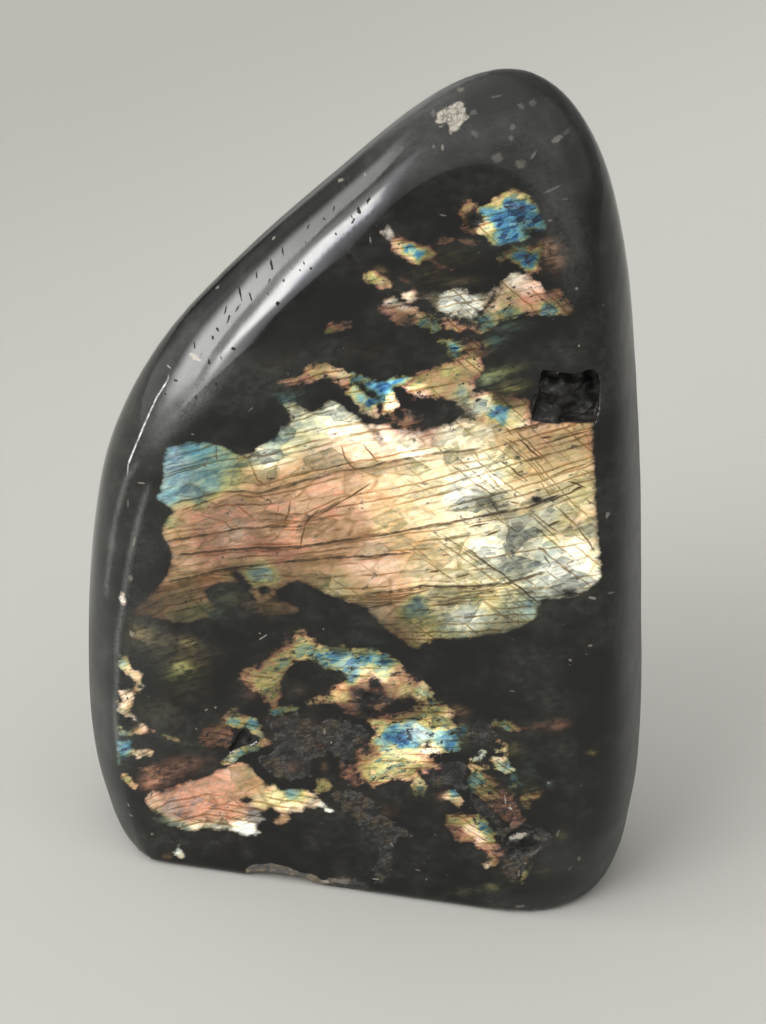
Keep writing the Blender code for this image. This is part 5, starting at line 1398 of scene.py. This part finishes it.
# Where the flashes show: inside their jagged edges, with holes where they are broken.
brokenness = field("flash_broken")
in_broken = span(brokenness, 0.02, 0.25)
edge_out = shaken(field("flash_edge"), jag, calc("MULTIPLY_ADD", brokenness, 2.4, 1.2))
inside_flash = times(span(edge_out, -0.12, 0.30), span(field("face_depth"), -0.1, 0.75))
hollow = times(span(calc("MULTIPLY_ADD", brokenness, 0.12, mottle), 0.62, 0.70), in_broken, 0.8)
inside_flash = times(inside_flash, calc("SUBTRACT", 1.0, hollow))

# Their colour: the layer's own, which wanders from facet to facet and runs on towards purple at the border.
layer_here = calc("MULTIPLY_ADD", fall(edge_out, 0.0, 1.25), field("flash_rim"), field("flash_layer"))
for wander, amount in ((streak, 0.18), (fine, 0.08), (big_tone, 0.09), (small_tone, 0.07)):
    layer_here = shaken(layer_here, wander, amount)
layer_here = calc("MULTIPLY_ADD", times(calc("SUBTRACT", small_tone, 0.5), in_broken), 0.14, layer_here)
pale_here = times(shaken(calc("ADD", field("flash_pale"), 0.07), mottle, 0.9), 0.84)
flash_colour = blend_colour(span(pale_here, 0.0, 1.0), layer_colour(layer_here), PALE_FLASH)

# Cracks: the two sets, finer ones between them, the single ones, and the borders of the facets. Round the set
# cracks a brown stain is shifted to one side as painted shade, and a painted highlight runs on the other side
# of the rising ones.
waver = times(calc("SUBTRACT", grain(2.6, 1.2, 22), 0.5), 0.8)
shown_far = span(grain(14.0, 1.6, 23, detail=2.0), 0.40, 0.58)
shown_cross = span(grain(11.0, 1.3, -42, detail=2.0, start=(0.02, 0, 0.05)), 0.42, 0.60)
rising_gap, falling_gap = field("rising_gap"), field("falling_gap")
rising_strength, falling_strength = field("rising_strength"), field("falling_strength")
rising_at = calc("ADD", field("rising_run"), calc("DIVIDE", waver, rising_gap))
falling_at = calc("ADD", field("falling_run"), calc("DIVIDE", waver, falling_gap))
thick = span(mottle, 0.35, 0.65, 0.65, 1.15)
rising = times(line_at(rising_at, 1.0, rising_gap, 0.10, 0.19), rising_strength, thick)
rising_between = times(line_at(rising_at, 3.0, rising_gap, 0.05, 0.18, 0.5), shown_far, 0.95)
rising_hair = times(line_at(rising_at, 7.0, rising_gap, 0.01, 0.11, 0.3), span(streak, 0.46, 0.64), 0.40)
falling = times(line_at(falling_at, 1.0, falling_gap, 0.07, 0.16), falling_strength, thick, 0.8)
falling_between = times(line_at(falling_at, 3.0, falling_gap, 0.05, 0.18, 0.5), shown_cross,
                        field("right_part"), 0.95)
facet_lines = times(fall(big_edge, 0.0, 0.11), span(coarse, 0.35, 0.60, 0.2, 1.0), 0.60)
small_lines = times(fall(small_edge, 0.0, 0.16), calc("MULTIPLY_ADD", in_broken, 0.30, 0.20),
                    span(coarse, 0.35, 0.6))
flecks = times(span(calc("ADD", mottle, times(shown_far, 0.06)), 0.66, 0.72), 0.75)
short = crack_mask("crack", crack_sets)
cracks = most(rising, falling, flecks, times(short, span(short, 0.35, 0.95, 0.15, 1.0), thick))
stain = most(rising_between, rising_hair, falling_between, facet_lines, small_lines, times(short, 1.5))
# A brown stain round each set crack, shifted to one side of it as painted shade, as at a step's edge.
crack_stain_and_shade = most(times(line_at(rising_at, 1.0, rising_gap, 0.10, 0.85, 0.06), rising_strength),
            times(line_at(falling_at, 1.0, falling_gap, 0.05, 0.60, 0.05), falling_strength))
# A painted highlight along the other side of each rising crack.
painted_crack_highlight = times(line_at(rising_at, 1.0, rising_gap, 0.05, 0.22, -0.13), rising_strength, 0.30)
stained = most(stain, times(crack_stain_and_shade, span(coarse, 0.30, 0.60, 0.3, 1.0), 0.75))
flash_colour = blend_colour(stained, flash_colour, STAIN, "MULTIPLY")
flash_colour = blend_colour(span(cracks, 0.0, 1.0, 0.0, 0.94), flash_colour, CRACK_BROWN)

# How much light they throw back: each facet lies at its own angle, and a painted highlight runs beside each
# rising crack.
light_play = calc("ADD", times(streak, 0.75), calc("ADD", times(big_tone, 0.46), times(small_tone, 0.26)))
light_play = calc("ADD", span(calc("ADD", light_play, times(jag, 0.5)), 0.48, 1.46, 0.45, 1.85), painted_crack_highlight)
facet_tone = calc("SUBTRACT", calc("MULTIPLY_ADD", big_tone, 0.5, times(small_tone, 0.5)), 0.5)
facet_play = times(facet_tone, span(field("flash_pale"), 0.25, 0.6))
light_play = times(light_play, calc("MULTIPLY_ADD", facet_play, 0.6, 1.0))
flash_light = times(field("flash_strength"), light_play, inside_flash, span(edge_out, 0.0, 0.7, 0.5, 1.0))
flash_lit = blend_colour(1.0, flash_colour, flash_light, "MULTIPLY")

# The body between them: near black, foggy in places, with the faint clouds, the dull patches and the flake.
cloud_play = span(evenly(streak, mottle), 0.38, 0.62, 0.2, 1.9)
cloud_tint = layer_colour(shaken(field("cloud_layer"), streak, 0.2))
cloud_lit = blend_colour(1.0, cloud_tint, times(field("cloud"), cloud_play), "MULTIPLY")
fog = times(span(broad_noise, 0.42, 0.70), span(mottle, 0.35, 0.65, 0.3, 1.2))
body = blend_colour(1.0, blend_colour(fog, BODY, BODY_FOG), cloud_lit, "ADD")
dull_here = span(shaken(field("dull_edge"), jag, 2.6), -0.15, 0.35)
dull_light = blend_colour(span(coarse, 0.44, 0.61), DULL_GRAY, DULL_BROWN)
dull_colour = blend_colour(span(mottle, 0.31, 0.61), DULL_DARK, dull_light)
dull_colour = blend_colour(times(fall(small_edge, 0.02, 0.12), 0.8), dull_colour, DULL_DARK)
body = blend_colour(times(dull_here, span(coarse, 0.34, 0.54, 0.25, 1.0)), body, dull_colour)
flake_here = span(shaken(field("flake_edge"), jag, 0.5), -0.05, 0.15)
body = blend_colour(flake_here, body, blend_colour(span(mottle, 0.38, 0.60), DULL_GRAY, FLAKE_BROWN))

# Both together, and over them the haze with its painted sheen and highlights, the voids' floors, the whitish
# specks, the painted highlight on the ridge and the pits.
in_void = field("void_floor")
void_colour = blend_colour(span(mottle, 0.50, 0.72), DULL_DARK, blend_colour(coarse, DULL_GRAY, DULL_BROWN))
haze_and_sheen_play = span(evenly(broad_noise, ragged_noise), 0.36, 0.62, 0.55, 1.35)
haze_and_sheen_light = blend_colour(1.0, PALE_HAZE_AND_SHEEN, times(field("haze_and_sheen"), haze_and_sheen_play), "MULTIPLY")
surface = blend_colour(1.0, body, calc("SUBTRACT", 1.0, inside_flash), "MULTIPLY")
surface = blend_colour(1.0, surface, flash_lit, "ADD")
surface = blend_colour(1.0, surface, haze_and_sheen_light, "ADD")
surface = blend_colour(span(in_void, 0.15, 0.45), surface, void_colour)
white_patch = times(span(shaken(field("white_edge"), jag, 1.6), -0.1, 0.25),
                    span(evenly(mottle, ragged_noise), 0.38, 0.62, 0.35, 1.0))
speck = most(mark_mask("speck", speck_sets), white_patch)
surface = blend_colour(speck, surface, SPECK_WHITE)
# The painted highlight along the ridge on the left rim.
ridge_highlight = times(fall(calc("ABSOLUTE", field("ridge_across")), 0.02, 0.17), field("ridge_strength"),
                   span(streak, 0.35, 0.6, 0.3, 1.0))
surface = blend_colour(ridge_highlight, surface, RIDGE_HIGHLIGHT_WHITE)
pit = mark_mask("pit", pit_sets)
surface = blend_colour(times(pit, 0.92), surface, BODY)
tree.links.new(surface, shader.inputs["Base Color"])

# The polish is duller on the flanks and gone on broken ground, which also has a fine relief.
polish = calc("MULTIPLY_ADD", field("satin"), 0.30, span(coarse, 0.35, 0.65, 0.06, 0.10))
roughness = most(polish, times(dull_here, 0.42), times(speck, 0.45), times(flake_here, 0.5), times(pit, 0.85),
                 span(in_void, 0.1, 0.4, 0.0, 0.62))
tree.links.new(roughness, shader.inputs["Roughness"])
relief = times(mottle, most(dull_here, in_void, flake_here), 0.14)
relief = calc("MULTIPLY_ADD", grain(5.0, 5.0, 0, detail=1.0), 0.010, relief)
bump = add_node("ShaderNodeBump", Height=relief, Distance=MM, Strength=1.0)
tree.links.new(bump.outputs["Normal"], shader.inputs["Normal"])
shader.inputs["IOR"].default_value = 1.50
even.polygons.foreach_set("use_smooth", np.ones(len(even.polygons), bool))
even.materials.clear()
even.materials.append(material)

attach(stone, "root")
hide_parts("labradorite_stone")
